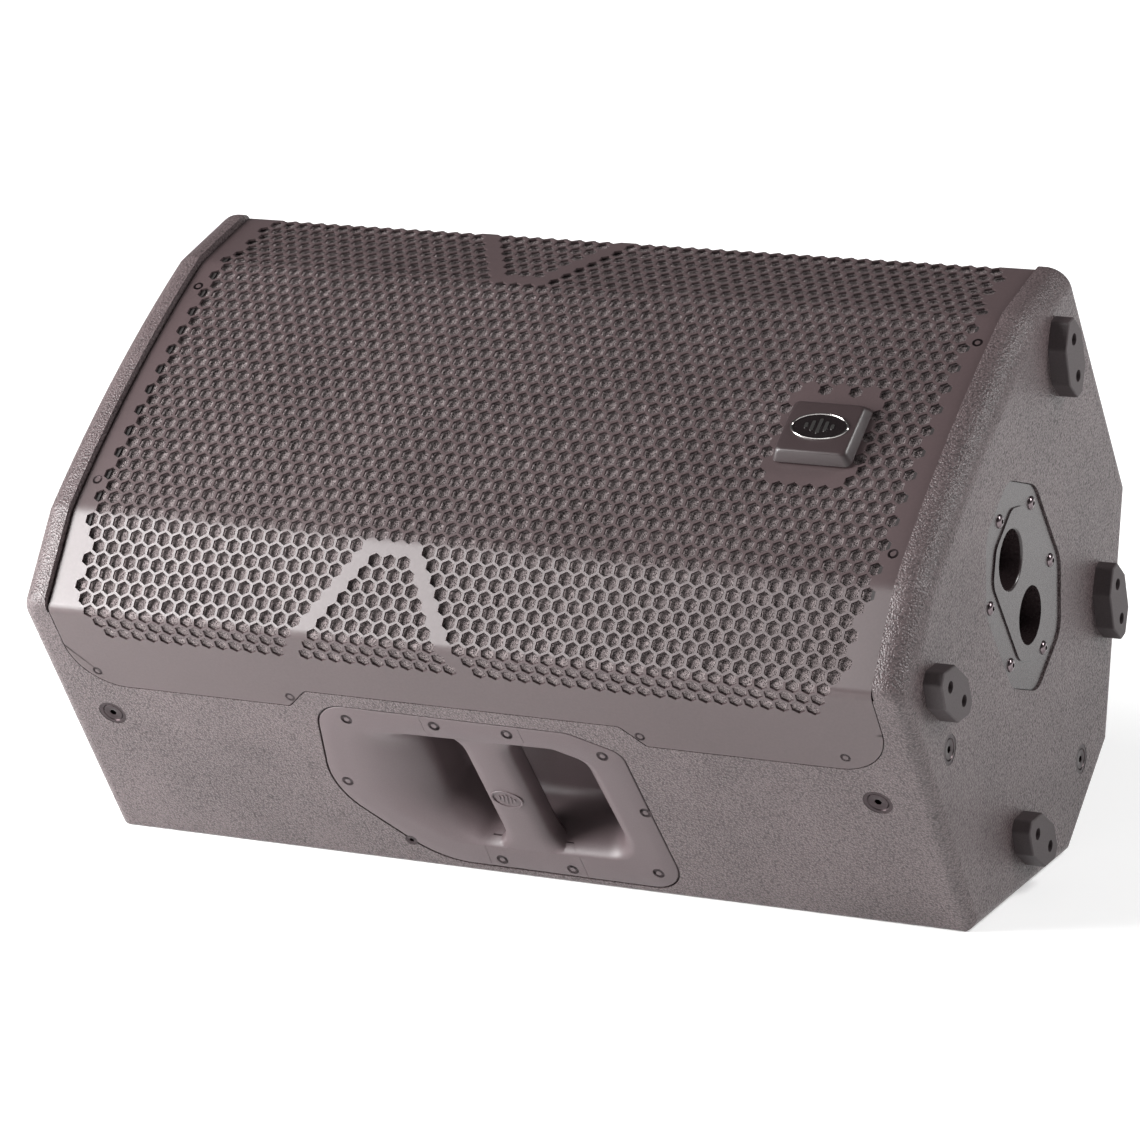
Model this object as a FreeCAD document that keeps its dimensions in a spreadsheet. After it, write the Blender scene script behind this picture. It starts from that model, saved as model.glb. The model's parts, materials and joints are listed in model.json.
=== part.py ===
"""Stage monitor wedge: a self-powered two-way loudspeaker cabinet lying on its floor face.

The long axis of the cabinet lies along X. The cross-section in Y and Z is a hexagon with a bowed
front, so three frames are used besides the row's own:

  front frame   x along the cabinet, y (called u) up the front face, z (called w) straight out of it
  board frames  x along the cabinet, y along one edge of the section, z into the cabinet
  end frames    x is u, y is w, z points out of the end board

Millimetres, +Z up, origin at the bottom centre of the whole object's box.
"""
import FreeCAD, Part
import math
import os
import re
import Sketcher
from FreeCAD import Placement, Rotation, Vector

SIZES = {
    # cabinet
    "cabinet_length": 600, "cabinet_shift": -6, "end_board": 20, "side_board": 15,
    "rim_round": 16, "end_round": 9, "edge_round": 4, "rim_height": 4,
    # corners of the section, in Y and Z
    "fold_low_y": -183.1, "fold_low_z": 175.5, "floor_front_y": -81, "floor_rear_y": 81,
    "rear_high_y": 150, "rear_high_z": 54, "back_y": 185.3, "back_z": 214,
    "fold_high_y": 90.8, "fold_high_z": 371.9,
    # grille and foam
    "grille_gap": 1.5, "grille_sheet": 1.5, "kink_u": 106.25, "kink_w": 22.9, "crown_rise": 5.85,
    "flange_side": 66, "flange_middle": 51, "flange_high": 66, "notch_left": -112,
    "notch_right": 104, "flange_round": 34, "rabbet": 2.2, "foam_sheet": 5, "foam_gap": 0.4, "foam_end": 10,
    "batten_width": 15, "grille_screw_x": 271, "grille_screw_u": 83,
    # front baffle
    "baffle_board": 18, "baffle_face": -17, "baffle_gap": 0.1,
    # woofer, placed at its own x
    "woofer_x": 112, "woofer_frame": 149, "woofer_cutout": 139, "cone_radius": 118.2,
    "roll_outer": 134.5, "coil_radius": 38, "magnet_radius": 78, "cone_travel": 6,
    # horn and driver
    "horn_x": -158, "horn_flange": 212, "horn_mouth": 184, "horn_depth": 104, "throat": 18,
    "driver_radius": 50, "driver_length": 54,
    # ports
    "port_radius": 20, "port_wall": 2, "port_length": 80, "port_left_x": -24, "port_right_x": 236,
    "port_u": 121,
    # badge
    "badge_x": 200, "badge_side": 52, "badge_height": 9, "badge_lift": 0.8, "pivot_radius": 4,
    # handle
    "cup_flange": 3, "cup_depth": 50, "cup_wall": 3, "grip_depth": 19, "joint_gap": 0.3,
    # pole sockets
    "pole_bore": 18.3, "pole_depth": 82, "lean_depth": 74, "pole_wall": 3, "mouth_round": 1.6,
    "pole_tilt": 7, "pole_u": -8.5,
    "pole_low_w": -65.5, "pole_high_w": -118.5, "plate_sheet": 3.6, "plate_recess": 4,
    "plate_step": 1,
    # feet
    "foot_height": 12, "foot_length": 52, "foot_width": 28,
    # rigging inserts
    "insert_radius": 9.5, "insert_length": 15, "insert_bore": 5,
    # amplifier
    "amp_length": 330, "amp_width": 70, "amp_sheet": 2.5, "amp_recess": 11.5,
    "amp_open_length": 300, "amp_open_width": 56, "socket_bore": 8.2, "knob_radius": 7,
    "knob_height": 8.6,
    "rocker_angle": 12,
    # running clearance of turning shafts
    "shaft_clearance": 0.05,
}

# Outlines in (x, distance from the lower fold, corner radius), on the handle board.
CUP_OUTLINE = [(-108, 62, 22), (66, 63, 10), (99, 76, 12), (112, 198, 20), (-60, 197, 60), (-121, 140, 45)]
BOWL_OUTLINE = [(-92, 82, 14), (50, 79, 15), (76, 88, 14), (86, 176, 20), (-45, 178, 35), (-96, 148, 35)]
# Screw and insert centres on the same board.
CUP_SCREWS = [(-89, 73), (-27, 70), (23, 70), (85, 80), (-107, 132), (101, 128), (-77, 182), (-15, 190),
              (34, 191), (95, 184)]
FLANGE_SCREWS = [(-262, 54), (-124, 58), (116, 58), (250, 56)]
HANDLE_INSERTS = [(-265, 93), (262, 93)]
# Centres on the end boards, in (u, w); a foot also has the angle it is turned through.
END_INSERTS = [(-143, -79), (-8, -262)]
PLATE_SCREWS = [(-5, -34), (36, -65), (36, -119), (-5, -154), (-47, -119), (-47, -65)]
FEET = [(119, -24, 20), (78, -208, 20), (-133, -37, -20), (-99, -224, -20)]
FOOT_SCREW_OFFSETS = (-12.5, 12.5)
# Centres on the amplifier's plate, in its own x and y.
COMBO_SPOTS = [(52, 10), (92, 10)]
LINK_SPOT = (130, 10)
KNOB_SPOTS = [(52, -19), (92, -19)]
BUTTON_SPOT = (118, -19)
LENS_SPOT = (134, -19)
INLET_SPOT = (-128, 6)
ROCKER_SPOT = (-92, 6)
POST_SPOTS = [(-70, -22), (-70, 22), (30, -22), (30, 22)]
AMP_SCREW_SPOTS = [(x, y) for x in (-158, -75, 75, 158) for y in (-31, 31)]
WOOFER_SCREW_COUNT = 8
# How far the leaning cup and its pocket are drawn past the mouth, so that they meet the plate all round.
MOUTH_ROOM = 4
# Corners of a square of half side one, counter-clockwise.
SQUARE = [(-1, -1), (1, -1), (1, 1), (-1, 1)]
# Countersunk screws in (head radius, shank radius, length): grille, then handle.
GRILLE_SCREW_HOLE = (3.6, 1.8, 12)
CUP_SCREW_HOLE = (4.2, 2, 13)

DOC = FreeCAD.newDocument("stage_wedge")
SHEET = DOC.addObject("Spreadsheet::Sheet", "Sizes")
for row, (alias, number) in enumerate(SIZES.items(), start=1):
    SHEET.set("A%d" % row, alias)
    SHEET.set("B%d" % row, str(number))
    SHEET.setAlias("B%d" % row, alias)
DOC.recompute()

NODES = []


# ---------------------------------------------------------------- sheet and expressions

def size(name):
    """Read one driving dimension from the sheet."""
    return float(SHEET.get(name))


def formula(text):
    """Turn plain words of the sheet into references that an expression can use."""
    return re.sub(r"[a-z_]{4,}", lambda m: "Sizes." + m.group(0) if m.group(0) in SIZES else m.group(0), text)


def bind(thing, prop, text):
    """Bind one property, or one named constraint, to the sheet."""
    thing.setExpression(prop, formula(text))


def keep(thing, label):
    """Register a finished sub-part under its node name."""
    thing.Label = label
    NODES.append(thing)
    return thing


# ---------------------------------------------------------------- section geometry

def unit(a, b):
    """The direction from a to b in a plane, of length one."""
    length = math.hypot(b[0] - a[0], b[1] - a[1])
    return ((b[0] - a[0]) / length, (b[1] - a[1]) / length)


def meet(p, d, q, e):
    """The point where the line through p along d crosses the line through q along e."""
    cross = d[0] * e[1] - d[1] * e[0]
    t = ((q[0] - p[0]) * e[1] - (q[1] - p[1]) * e[0]) / cross
    return (p[0] + t * d[0], p[1] + t * d[1])


CORNERS = {
    "fold_low": (size("fold_low_y"), size("fold_low_z")),
    "floor_front": (size("floor_front_y"), 0.0),
    "floor_rear": (size("floor_rear_y"), 0.0),
    "rear_high": (size("rear_high_y"), size("rear_high_z")),
    "back": (size("back_y"), size("back_z")),
    "fold_high": (size("fold_high_y"), size("fold_high_z")),
}
RING = ["fold_low", "floor_front", "floor_rear", "rear_high", "back", "fold_high"]
SHIFT = size("cabinet_shift")
INNER_LENGTH = size("cabinet_length") - 2 * size("end_board")
MIDDLE = tuple((a + b) / 2 for a, b in zip(CORNERS["fold_low"], CORNERS["fold_high"]))
TILT = math.degrees(math.atan2(CORNERS["fold_high"][1] - CORNERS["fold_low"][1],
                               CORNERS["fold_high"][0] - CORNERS["fold_low"][0]))
FOLD_U = math.dist(CORNERS["fold_low"], CORNERS["fold_high"]) / 2


def to_front(point):
    """Section coordinates (y, z) to front coordinates (u, w)."""
    angle = math.radians(TILT)
    dy = point[0] - MIDDLE[0]
    dz = point[1] - MIDDLE[1]
    return (dy * math.cos(angle) + dz * math.sin(angle), -dy * math.sin(angle) + dz * math.cos(angle))


FRONT_CORNERS = {name: to_front(point) for name, point in CORNERS.items()}


def board_angle(start, end):
    """Angle of a board in the section, in degrees from +Y."""
    d = unit(CORNERS[start], CORNERS[end])
    return math.degrees(math.atan2(d[1], d[0]))


def board_length(start, end):
    """Length of one edge of the section."""
    return math.dist(CORNERS[start], CORNERS[end])


def front_frame(x=0.0, u=0.0, w=0.0):
    """Frame of the front: w = 0 is the plane through both folds."""
    frame = Placement(Vector(SHIFT, *MIDDLE), Rotation(Vector(1, 0, 0), TILT))
    return frame * Placement(Vector(x, u, w), Rotation())


def board_frame(start, end):
    """Frame of a board: its outer face at z = 0, from the corner start."""
    return Placement(Vector(SHIFT, *CORNERS[start]), Rotation(Vector(1, 0, 0), board_angle(start, end)))


def end_frame(side):
    """side is +1 for the end with the pole sockets, -1 for the other one."""
    front = front_frame(side * size("cabinet_length") / 2)
    turn = Rotation(Vector(0, side, 0), Vector(0, 0, 1), Vector(side, 0, 0), "XYZ")
    return front * Placement(Vector(), turn)


def amp_frame(x=0.0, across=0.0, out=0.0):
    """x along the cabinet, y down across the rear board, z out from the back of the amplifier plate."""
    middle = tuple((a + b) / 2 for a, b in zip(CORNERS["floor_rear"], CORNERS["rear_high"]))
    turn = Rotation(Vector(1, 0, 0), board_angle("floor_rear", "rear_high") + 180)
    seat = Vector(x, across, out - size("amp_recess"))
    return Placement(Vector(SHIFT, *middle), turn) * Placement(seat, Rotation())


def handle_frame(x=0.0, t=0.0, depth=0.0):
    """x along the cabinet, y down from the lower fold, z into the handle board."""
    return board_frame("fold_low", "floor_front") * Placement(Vector(x, t, depth), Rotation())


def flipped(place):
    """The same place with its z axis turned round, for a screw that goes in along +z."""
    return place * Placement(Vector(), Rotation(Vector(1, 0, 0), 180))


# ---------------------------------------------------------------- the bowed front

def crown_radius():
    """Radius of the bowed middle of the front, from its half width and its rise."""
    half = size("kink_u")
    rise = size("crown_rise")
    return (half * half + rise * rise) / (2 * rise)


def profile_points(depth):
    """Low fold, low kink, crown, high kink and high fold of the front, depth below the grille's face."""
    half = size("kink_u")
    crown_dir = math.asin(half / crown_radius())
    wing = unit((-FOLD_U, 0.0), (-half, size("kink_w")))
    wing_angle = math.atan2(wing[1], wing[0])
    turn = (wing_angle - crown_dir) / 2
    normal = (wing_angle + crown_dir) / 2
    kink = (-half + math.sin(normal) * depth / math.cos(turn),
            size("kink_w") - math.cos(normal) * depth / math.cos(turn))
    low = FRONT_CORNERS["floor_front"]
    side = unit(FRONT_CORNERS["fold_low"], low)
    inset = (FRONT_CORNERS["fold_low"][0] - side[1] * depth, FRONT_CORNERS["fold_low"][1] + side[0] * depth)
    fold_low = meet(kink, wing, inset, side)
    side = unit(FRONT_CORNERS["fold_high"], FRONT_CORNERS["back"])
    inset = (FRONT_CORNERS["fold_high"][0] + side[1] * depth, FRONT_CORNERS["fold_high"][1] - side[0] * depth)
    fold_high = meet((-kink[0], kink[1]), (-wing[0], wing[1]), inset, side)
    crown = (0.0, size("kink_w") + size("crown_rise") - depth)
    return [fold_low, kink, crown, (-kink[0], kink[1]), fold_high]


def rim_points():
    """The front edge of an end board, which stands rim_height proud of the grille."""
    points = profile_points(-size("rim_height"))
    wing = unit(points[0], points[1])
    low = meet(points[1], wing, FRONT_CORNERS["fold_low"],
               unit(FRONT_CORNERS["fold_low"], FRONT_CORNERS["floor_front"]))
    high = meet(points[3], (-wing[0], wing[1]), FRONT_CORNERS["fold_high"],
                unit(FRONT_CORNERS["fold_high"], FRONT_CORNERS["back"]))
    return [low, points[1], points[2], points[3], high]


def vec(point, third=0.0):
    """A plane point as a vector in XY."""
    return Vector(point[0], point[1], third)


def rounded(points):
    """A closed wire in XY through (x, y, radius) corners, each corner an arc tangent to its sides."""
    starts, ends, mids = [], [], []
    for i, (x, y, radius) in enumerate(points):
        before = unit((x, y), points[i - 1][:2])
        after = unit((x, y), points[(i + 1) % len(points)][:2])
        dot = max(-1.0, min(1.0, before[0] * after[0] + before[1] * after[1]))
        half = math.acos(dot) / 2
        run = radius / math.tan(half)
        starts.append(Vector(x + before[0] * run, y + before[1] * run, 0))
        ends.append(Vector(x + after[0] * run, y + after[1] * run, 0))
        bisector = Vector(before[0] + after[0], before[1] + after[1], 0)
        bisector.normalize()
        mids.append(Vector(x, y, 0) + bisector * (radius / math.sin(half) - radius))
    edges = []
    for i, (x, y, radius) in enumerate(points):
        if radius > 0:
            edges.append(Part.Arc(starts[i], mids[i], ends[i]).toShape())
        following = starts[(i + 1) % len(points)]
        if ends[i].distanceToPoint(following) > 1e-6:
            edges.append(Part.LineSegment(ends[i], following).toShape())
    return Part.Wire(edges)


def prism(points, low, high):
    """A rounded outline as a solid from z = low to z = high."""
    wire = rounded(points)
    wire.translate(Vector(0, 0, low))
    return Part.Face(wire).extrude(Vector(0, 0, high - low))


def grown(points, step):
    """The same outline with every straight side moved out by step (outline counter-clockwise)."""
    moved = []
    for i, (x, y, radius) in enumerate(points):
        before = unit(points[i - 1][:2], (x, y))
        after = unit((x, y), points[(i + 1) % len(points)][:2])
        p = (x + before[1] * step, y - before[0] * step)
        q = (x + after[1] * step, y - after[0] * step)
        corner = meet(p, before, q, after)
        moved.append((corner[0], corner[1], max(radius + step, 0.5)))
    return moved


# ---------------------------------------------------------------- document objects

def new_body(label, place):
    """A PartDesign body that is a node."""
    body = DOC.addObject("PartDesign::Body", label)
    body.Placement = place
    return keep(body, label)


def new_sketch(body, role):
    """A sketch on one of the body's own origin planes."""
    plane = next(f for f in body.Origin.OriginFeatures if f.Role == role)
    sketch = body.newObject("Sketcher::SketchObject", body.Name + "_sketch")
    sketch.AttachmentSupport = [(plane, "")]
    sketch.MapMode = "FlatFace"
    return sketch


def draw_polygon(sketch, corners):
    """Lines through (x, y) corners given as expressions, each corner held by two dimensions."""
    values = [(float(SHEET.evalExpression(formula(str(x)))), float(SHEET.evalExpression(formula(str(y)))))
              for x, y in corners]
    count = len(corners)
    lines = [sketch.addGeometry(Part.LineSegment(vec(values[i]), vec(values[(i + 1) % count])), False)
             for i in range(count)]
    for i in range(count):
        sketch.addConstraint(Sketcher.Constraint("Coincident", lines[i], 2, lines[(i + 1) % count], 1))
    for i, (x, y) in enumerate(corners):
        for kind, text, number in (("DistanceX", x, values[i][0]), ("DistanceY", y, values[i][1])):
            index = sketch.addConstraint(Sketcher.Constraint(kind, -1, 1, lines[i], 1, number))
            name = "%s_%d" % (kind.lower(), i)
            sketch.renameConstraint(index, name)
            bind(sketch, "Constraints." + name, str(text))


def draw_wire(sketch, wire):
    """Lines and arcs of a closed wire, joined end to end."""
    edges = Part.sortEdges(wire.Edges)[0]
    drawn = []
    for edge in edges:
        start, end = edge.firstVertex(True).Point, edge.lastVertex(True).Point
        if isinstance(edge.Curve, Part.Line):
            drawn.append((sketch.addGeometry(Part.LineSegment(start, end), False), 1, 2))
            continue
        middle = edge.valueAt((edge.FirstParameter + edge.LastParameter) / 2)
        index = sketch.addGeometry(Part.Arc(start, middle, end), False)
        forward = sketch.getPoint(index, 1).distanceToPoint(start) < 1e-4
        drawn.append((index, 1, 2) if forward else (index, 2, 1))
    for i, (index, _, last) in enumerate(drawn):
        follower = drawn[(i + 1) % len(drawn)]
        sketch.addConstraint(Sketcher.Constraint("Coincident", index, last, follower[0], follower[1]))


def pad(body, sketch, length, midplane=False, reverse=False):
    """A pad whose length is an expression."""
    feature = body.newObject("PartDesign::Pad", body.Name + "_pad")
    feature.Profile = sketch
    bind(feature, "Length", length)
    feature.Midplane = midplane
    feature.Reversed = reverse
    DOC.recompute()
    return feature


def pocket(body, sketch, length, reverse=False, midplane=False):
    """A pocket that must take material away."""
    before = body.Shape.Volume
    feature = body.newObject("PartDesign::Pocket", body.Name + "_pocket")
    feature.Profile = sketch
    bind(feature, "Length", length)
    feature.Reversed = reverse
    feature.Midplane = midplane
    DOC.recompute()
    if body.Shape.Volume > before - 1:
        raise RuntimeError("a pocket in %s cuts nothing" % body.Label)
    return feature


def revolve(body, sketch, angle="360"):
    """A full turn of a sketch about its vertical axis."""
    feature = body.newObject("PartDesign::Revolution", body.Name + "_turned")
    feature.Profile = sketch
    feature.ReferenceAxis = (sketch, ["V_Axis"])
    bind(feature, "Angle", angle)
    DOC.recompute()
    return feature


def round_edges(body, base, radius, wanted):
    """Round the edges of base whose midpoint passes the test."""
    names = []
    for i, edge in enumerate(base.Shape.Edges, start=1):
        middle = edge.valueAt((edge.FirstParameter + edge.LastParameter) / 2)
        if wanted(edge, middle):
            names.append("Edge%d" % i)
    feature = body.newObject("PartDesign::Fillet", body.Name + "_round")
    feature.Base = (base, names)
    bind(feature, "Radius", radius)
    DOC.recompute()
    return feature


def feature(label, shape, place=None):
    """A sub-part whose outline only Part's own functions give."""
    thing = DOC.addObject("Part::Feature", label)
    thing.Shape = shape
    if place is not None:
        thing.Placement = place * thing.Placement
    return thing


def node_feature(label, shape, place=None):
    """A sub-part made with Part's own functions, as a node."""
    return keep(feature(label, shape, place), label)


def cut(label, base, tool):
    """base less tool, as the node called label."""
    NODES.remove(base)
    base.Label = label + "_blank"
    result = DOC.addObject("Part::Cut", label + "_cut")
    result.Base = base
    result.Tool = tool
    DOC.recompute()
    if result.Shape.Volume > base.Shape.Volume - 0.5:
        raise RuntimeError("nothing is cut from %s" % label)
    return keep(result, label)


def joined(label, things):
    """Several separate solids as one node."""
    for thing in things:
        NODES.remove(thing)
    group = DOC.addObject("Part::Compound", label)
    group.Links = things
    DOC.recompute()
    return keep(group, label)


def turned_shape(profile):
    """A solid of revolution about Z through (radius, z) points."""
    wire = Part.makePolygon([Vector(r, 0, z) for r, z in profile] + [Vector(profile[0][0], 0, profile[0][1])])
    return Part.Face(wire).revolve(Vector(), Vector(0, 0, 1), 360)


def placed(shape, places):
    """One compound of copies of a shape, one at each placement."""
    copies = []
    for place in places:
        copy = shape.copy()
        copy.Placement = place * copy.Placement
        copies.append(copy)
    return Part.makeCompound(copies)


# ---------------------------------------------------------------- fasteners

def flat_screw(head, shank, length, drive):
    """A countersunk screw with a hexagon socket: head top at z = 0, shank towards -z."""
    taper = head - shank
    body = turned_shape([(0, 0), (head, 0), (head, -0.4), (shank, -0.4 - taper), (shank, -length),
                         (0, -length)])
    return body.cut(hexagon(drive, -1.2 * drive, 0.1))


def flat_screw_hole(head, shank, length, gap=0.15):
    """The hole that clears a countersunk screw."""
    taper = head - shank
    return turned_shape([(0, 0.5), (head + gap, 0.5), (head + gap, -0.4 - gap),
                         (shank + gap, -0.4 - taper - gap), (shank + gap, -length - gap), (0, -length - gap)])


def dome_screw(head, height, shank, length, drive):
    """A domed screw: underside of the head at z = 0, shank towards -z."""
    dome = Part.makeSphere((head * head + height * height) / (2 * height))
    dome.translate(Vector(0, 0, height - (head * head + height * height) / (2 * height)))
    cap = dome.common(Part.makeCylinder(head * 1.2, height * 2))
    body = cap.fuse(Part.makeCylinder(shank, length, Vector(0, 0, -length))).removeSplitter()
    return body.cut(hexagon(drive, height * 0.3, height + 1))


def hexagon(radius, low, high):
    """A hexagonal prism for a screw's drive."""
    points = [Vector(radius * math.cos(math.radians(60 * i)), radius * math.sin(math.radians(60 * i)), low)
              for i in range(7)]
    return Part.Face(Part.makePolygon(points)).extrude(Vector(0, 0, high - low))


# ---------------------------------------------------------------- cabinet boards

def rim_corners(side):
    """The end board's front edge in its own sketch: fold, kink, crown, kink, fold."""
    return [(side * u, w) for u, w in rim_points()]


def end_board(label, side):
    """One end board, outlined by the section and bowed at the front, with rounded outer edges."""
    body = new_body(label, end_frame(side))
    rim = rim_corners(side)
    back = [(side * FRONT_CORNERS[name][0], FRONT_CORNERS[name][1]) for name in RING[4:0:-1]]
    edges = [Part.LineSegment(vec(rim[0]), vec(rim[1])).toShape(),
             Part.Arc(vec(rim[1]), vec(rim[2]), vec(rim[3])).toShape(),
             Part.LineSegment(vec(rim[3]), vec(rim[4])).toShape()]
    chain = [rim[4]] + back + [rim[0]]
    edges += [Part.LineSegment(vec(a), vec(b)).toShape() for a, b in zip(chain, chain[1:])]
    sketch = new_sketch(body, "XY_Plane")
    draw_wire(sketch, Part.Wire(edges))
    base = pad(body, sketch, "end_board", reverse=True)
    fold = min(rim[0][1], rim[4][1])
    front = round_edges(body, base, "rim_round",
                        lambda edge, middle: abs(middle.z) < 0.01 and middle.y > fold - 1)
    round_edges(body, front, "end_round",
                lambda edge, middle: abs(middle.z) < 0.01 and middle.y < fold - 6 and edge.Length > 20)
    return body


def corner_sliver(corner, before, after, length):
    """What rounding takes off the edge at one corner of a section given in (y, z), along x from 0."""
    radius = size("edge_round")
    toward = unit(corner, before)
    away = unit(corner, after)
    half = math.acos(toward[0] * away[0] + toward[1] * away[1]) / 2
    run = radius / math.tan(half)
    bisector = unit((0, 0), (toward[0] + away[0], toward[1] + away[1]))
    centre = [c + b * radius / math.sin(half) for c, b in zip(corner, bisector)]
    first = [c + d * run for c, d in zip(corner, toward)]
    last = [c + d * run for c, d in zip(corner, away)]
    outside = [c - b for c, b in zip(corner, bisector)]
    ring = [first, [2 * f - c for f, c in zip(first, mix(first, centre, 1 / radius))], outside,
            [2 * f - c for f, c in zip(last, mix(last, centre, 1 / radius))], last, first]
    block = Part.Face(Part.makePolygon([yz(p) for p in ring])).extrude(Vector(length, 0, 0))
    return block.cut(Part.makeCylinder(radius, length, yz(centre), Vector(1, 0, 0)))


def mix(a, b, share):
    """The point that lies a share of the way from a to b."""
    return [p + (q - p) * share for p, q in zip(a, b)]


def long_edge_slivers():
    """Slivers at the four long edges of the section, over the whole length of the cabinet."""
    length = size("cabinet_length")
    corners = [CORNERS[name] for name in RING]
    return [corner_sliver(corners[i], corners[i - 1], corners[i + 1], length).translated(
        Vector(SHIFT - length / 2, 0, 0)) for i in range(1, 5)]


def in_frame(shape, place):
    """A shape of the object's own frame, given in the frame of a body."""
    return placed(shape, [place.inverse()])


def end_boards():
    """Both end boards, with their holes; the right one also takes the socket plate and the feet."""
    left = end_board("end_board_left", -1)
    right = end_board("end_board_right", 1)
    sketch = new_sketch(right, "XY_Plane")
    draw_wire(sketch, rounded(grown(plate_outline(), 0.5)))
    pocket(right, sketch, "plate_recess")
    for board, side in ((left, -1), (right, 1)):
        tools = [Part.makeCylinder(size("insert_radius"), size("insert_length"),
                                   Vector(side * u, w, -size("insert_length"))) for u, w in END_INSERTS]
        if side > 0:
            tools += [pole_pocket()]
            tools += [foot_hole(spot) for spot in foot_screw_spots()]
            tools += [plate_screw_hole(spot) for spot in PLATE_SCREWS]
        tools += [in_frame(sliver, end_frame(side)) for sliver in long_edge_slivers()]
        cut(board.Label, board, feature(board.Label + "_holes", Part.makeCompound(tools), end_frame(side)))


def side_board(label, start, end, first_cut, last_cut):
    """A board along one edge of the section, mitred where it meets its neighbours."""
    body = new_body(label, board_frame(start, end))
    length = "sqrt((%s_y - %s_y)^2 + (%s)^2)" % (start, end, rise_text(start, end))
    sketch = new_sketch(body, "YZ_Plane")
    draw_polygon(sketch, [(first_cut[0], "0"), ("%s - %s" % (length, last_cut[0]), "0"),
                          ("%s - %s" % (length, last_cut[1]), "side_board"), (first_cut[1], "side_board")])
    pad(body, sketch, "cabinet_length - 2 * end_board", midplane=True)
    return body


def rise_text(start, end):
    """How far the section rises from one corner to another, as an expression."""
    names = {"fold_low": "fold_low_z", "floor_front": "0", "floor_rear": "0", "rear_high": "rear_high_z",
             "back": "back_z", "fold_high": "fold_high_z"}
    return "%s - %s" % (names[start], names[end])


def mitre(before, corner, after):
    """How far the inner edge of a board steps back at a mitred corner, as an expression."""
    turn = board_angle(corner, after) - board_angle(before, corner)
    return "side_board * tan(%.6f)" % (turn / 2)


def side_boards():
    """Five boards round the section, from the handle side to the top."""
    at = {c: mitre(RING[i], c, RING[i + 2]) for i, c in enumerate(RING[1:5])}
    fold_gap = "4"
    square = (fold_gap, fold_gap)
    cuts = {name: ("0", step) for name, step in at.items()}
    handle = side_board("handle_board", "fold_low", "floor_front", square, cuts["floor_front"])
    floor = side_board("floor_board", "floor_front", "floor_rear", cuts["floor_front"], cuts["floor_rear"])
    rear = side_board("rear_board", "floor_rear", "rear_high", cuts["floor_rear"], cuts["rear_high"])
    back = side_board("back_board", "rear_high", "back", cuts["rear_high"], cuts["back"])
    top = side_board("top_board", "back", "fold_high", cuts["back"], square)
    cut_rabbet(handle, 0.0, 1)
    cut_rabbet(top, board_length("back", "fold_high"), -1)
    open_handle_board(handle)
    shape_board(handle, handle_board_holes() + neighbours_slivers("fold_low", "floor_front"))
    shape_board(floor, neighbours_slivers("floor_front", "floor_rear"))
    open_rear_board(rear)
    shape_board(back, neighbours_slivers("rear_high", "back"))
    shape_board(top, neighbours_slivers("back", "fold_high"))


def neighbours_slivers(start, end):
    """The slivers that round a board's own long edges, in its frame."""
    ends = [name for name in (start, end) if name in RING[1:5]]
    slivers = long_edge_slivers()
    return [in_frame(slivers[RING.index(name) - 1], board_frame(start, end)) for name in ends]


def shape_board(body, tools):
    """Take holes and slivers off a board, both given in the board's own frame."""
    label = body.Label
    cut(label, body, feature(label + "_tools", Part.makeCompound(tools), body.Placement))


def flange_outline(gap, notched):
    """Outline of a grille flange in (x, distance from the fold), counter-clockwise."""
    half = INNER_LENGTH / 2 - size("grille_gap") + gap
    deep = size("flange_side") + gap
    corner = size("flange_round") + gap
    outline = [(-half, -3, 0.2), (half, -3, 0.2), (half, deep, corner)]
    if notched:
        step = size("flange_side") - size("flange_middle")
        shallow = size("flange_middle") + gap
        outline += [(size("notch_right") + step - gap, deep, 3), (size("notch_right") - gap, shallow, 6),
                    (size("notch_left") + gap, shallow, 6), (size("notch_left") - step + gap, deep, 3)]
    return outline + [(-half, deep, corner)]


def cut_rabbet(body, origin, direction):
    """A shallow recess in the outer face that takes the grille's flange."""
    outline = flange_outline(0.6, direction > 0)
    if direction < 0:
        outline = [(-x, origin - y, radius) for x, y, radius in outline]
    sketch = new_sketch(body, "XY_Plane")
    draw_wire(sketch, rounded(outline))
    pocket(body, sketch, "rabbet", reverse=True)


def open_handle_board(body):
    """A recess for the cup's flange and a through opening for its bowl."""
    sketch = new_sketch(body, "XY_Plane")
    draw_wire(sketch, rounded(grown(CUP_OUTLINE, 0.6)))
    pocket(body, sketch, "cup_flange", reverse=True)
    sketch = new_sketch(body, "XY_Plane")
    draw_wire(sketch, rounded(grown(BOWL_OUTLINE, size("cup_wall") + 1)))
    pocket(body, sketch, "side_board + 1", reverse=True)


def holes_facing_in(hole, spots):
    """Copies of a screw hole that go in along +z, in a board's own frame."""
    return [placed(hole, [flipped(Placement(Vector(x, t, 0), Rotation()))]) for x, t in spots]


def handle_board_holes():
    """Holes for the rigging inserts, the cup's screws and the grille's flange screws."""
    tools = [Part.makeCylinder(size("insert_radius"), size("side_board") + 1, Vector(x, t, -0.5))
             for x, t in HANDLE_INSERTS]
    tools += holes_facing_in(flat_screw_hole(*CUP_SCREW_HOLE), CUP_SCREWS)
    return tools + holes_facing_in(flat_screw_hole(*GRILLE_SCREW_HOLE), FLANGE_SCREWS)


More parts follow.
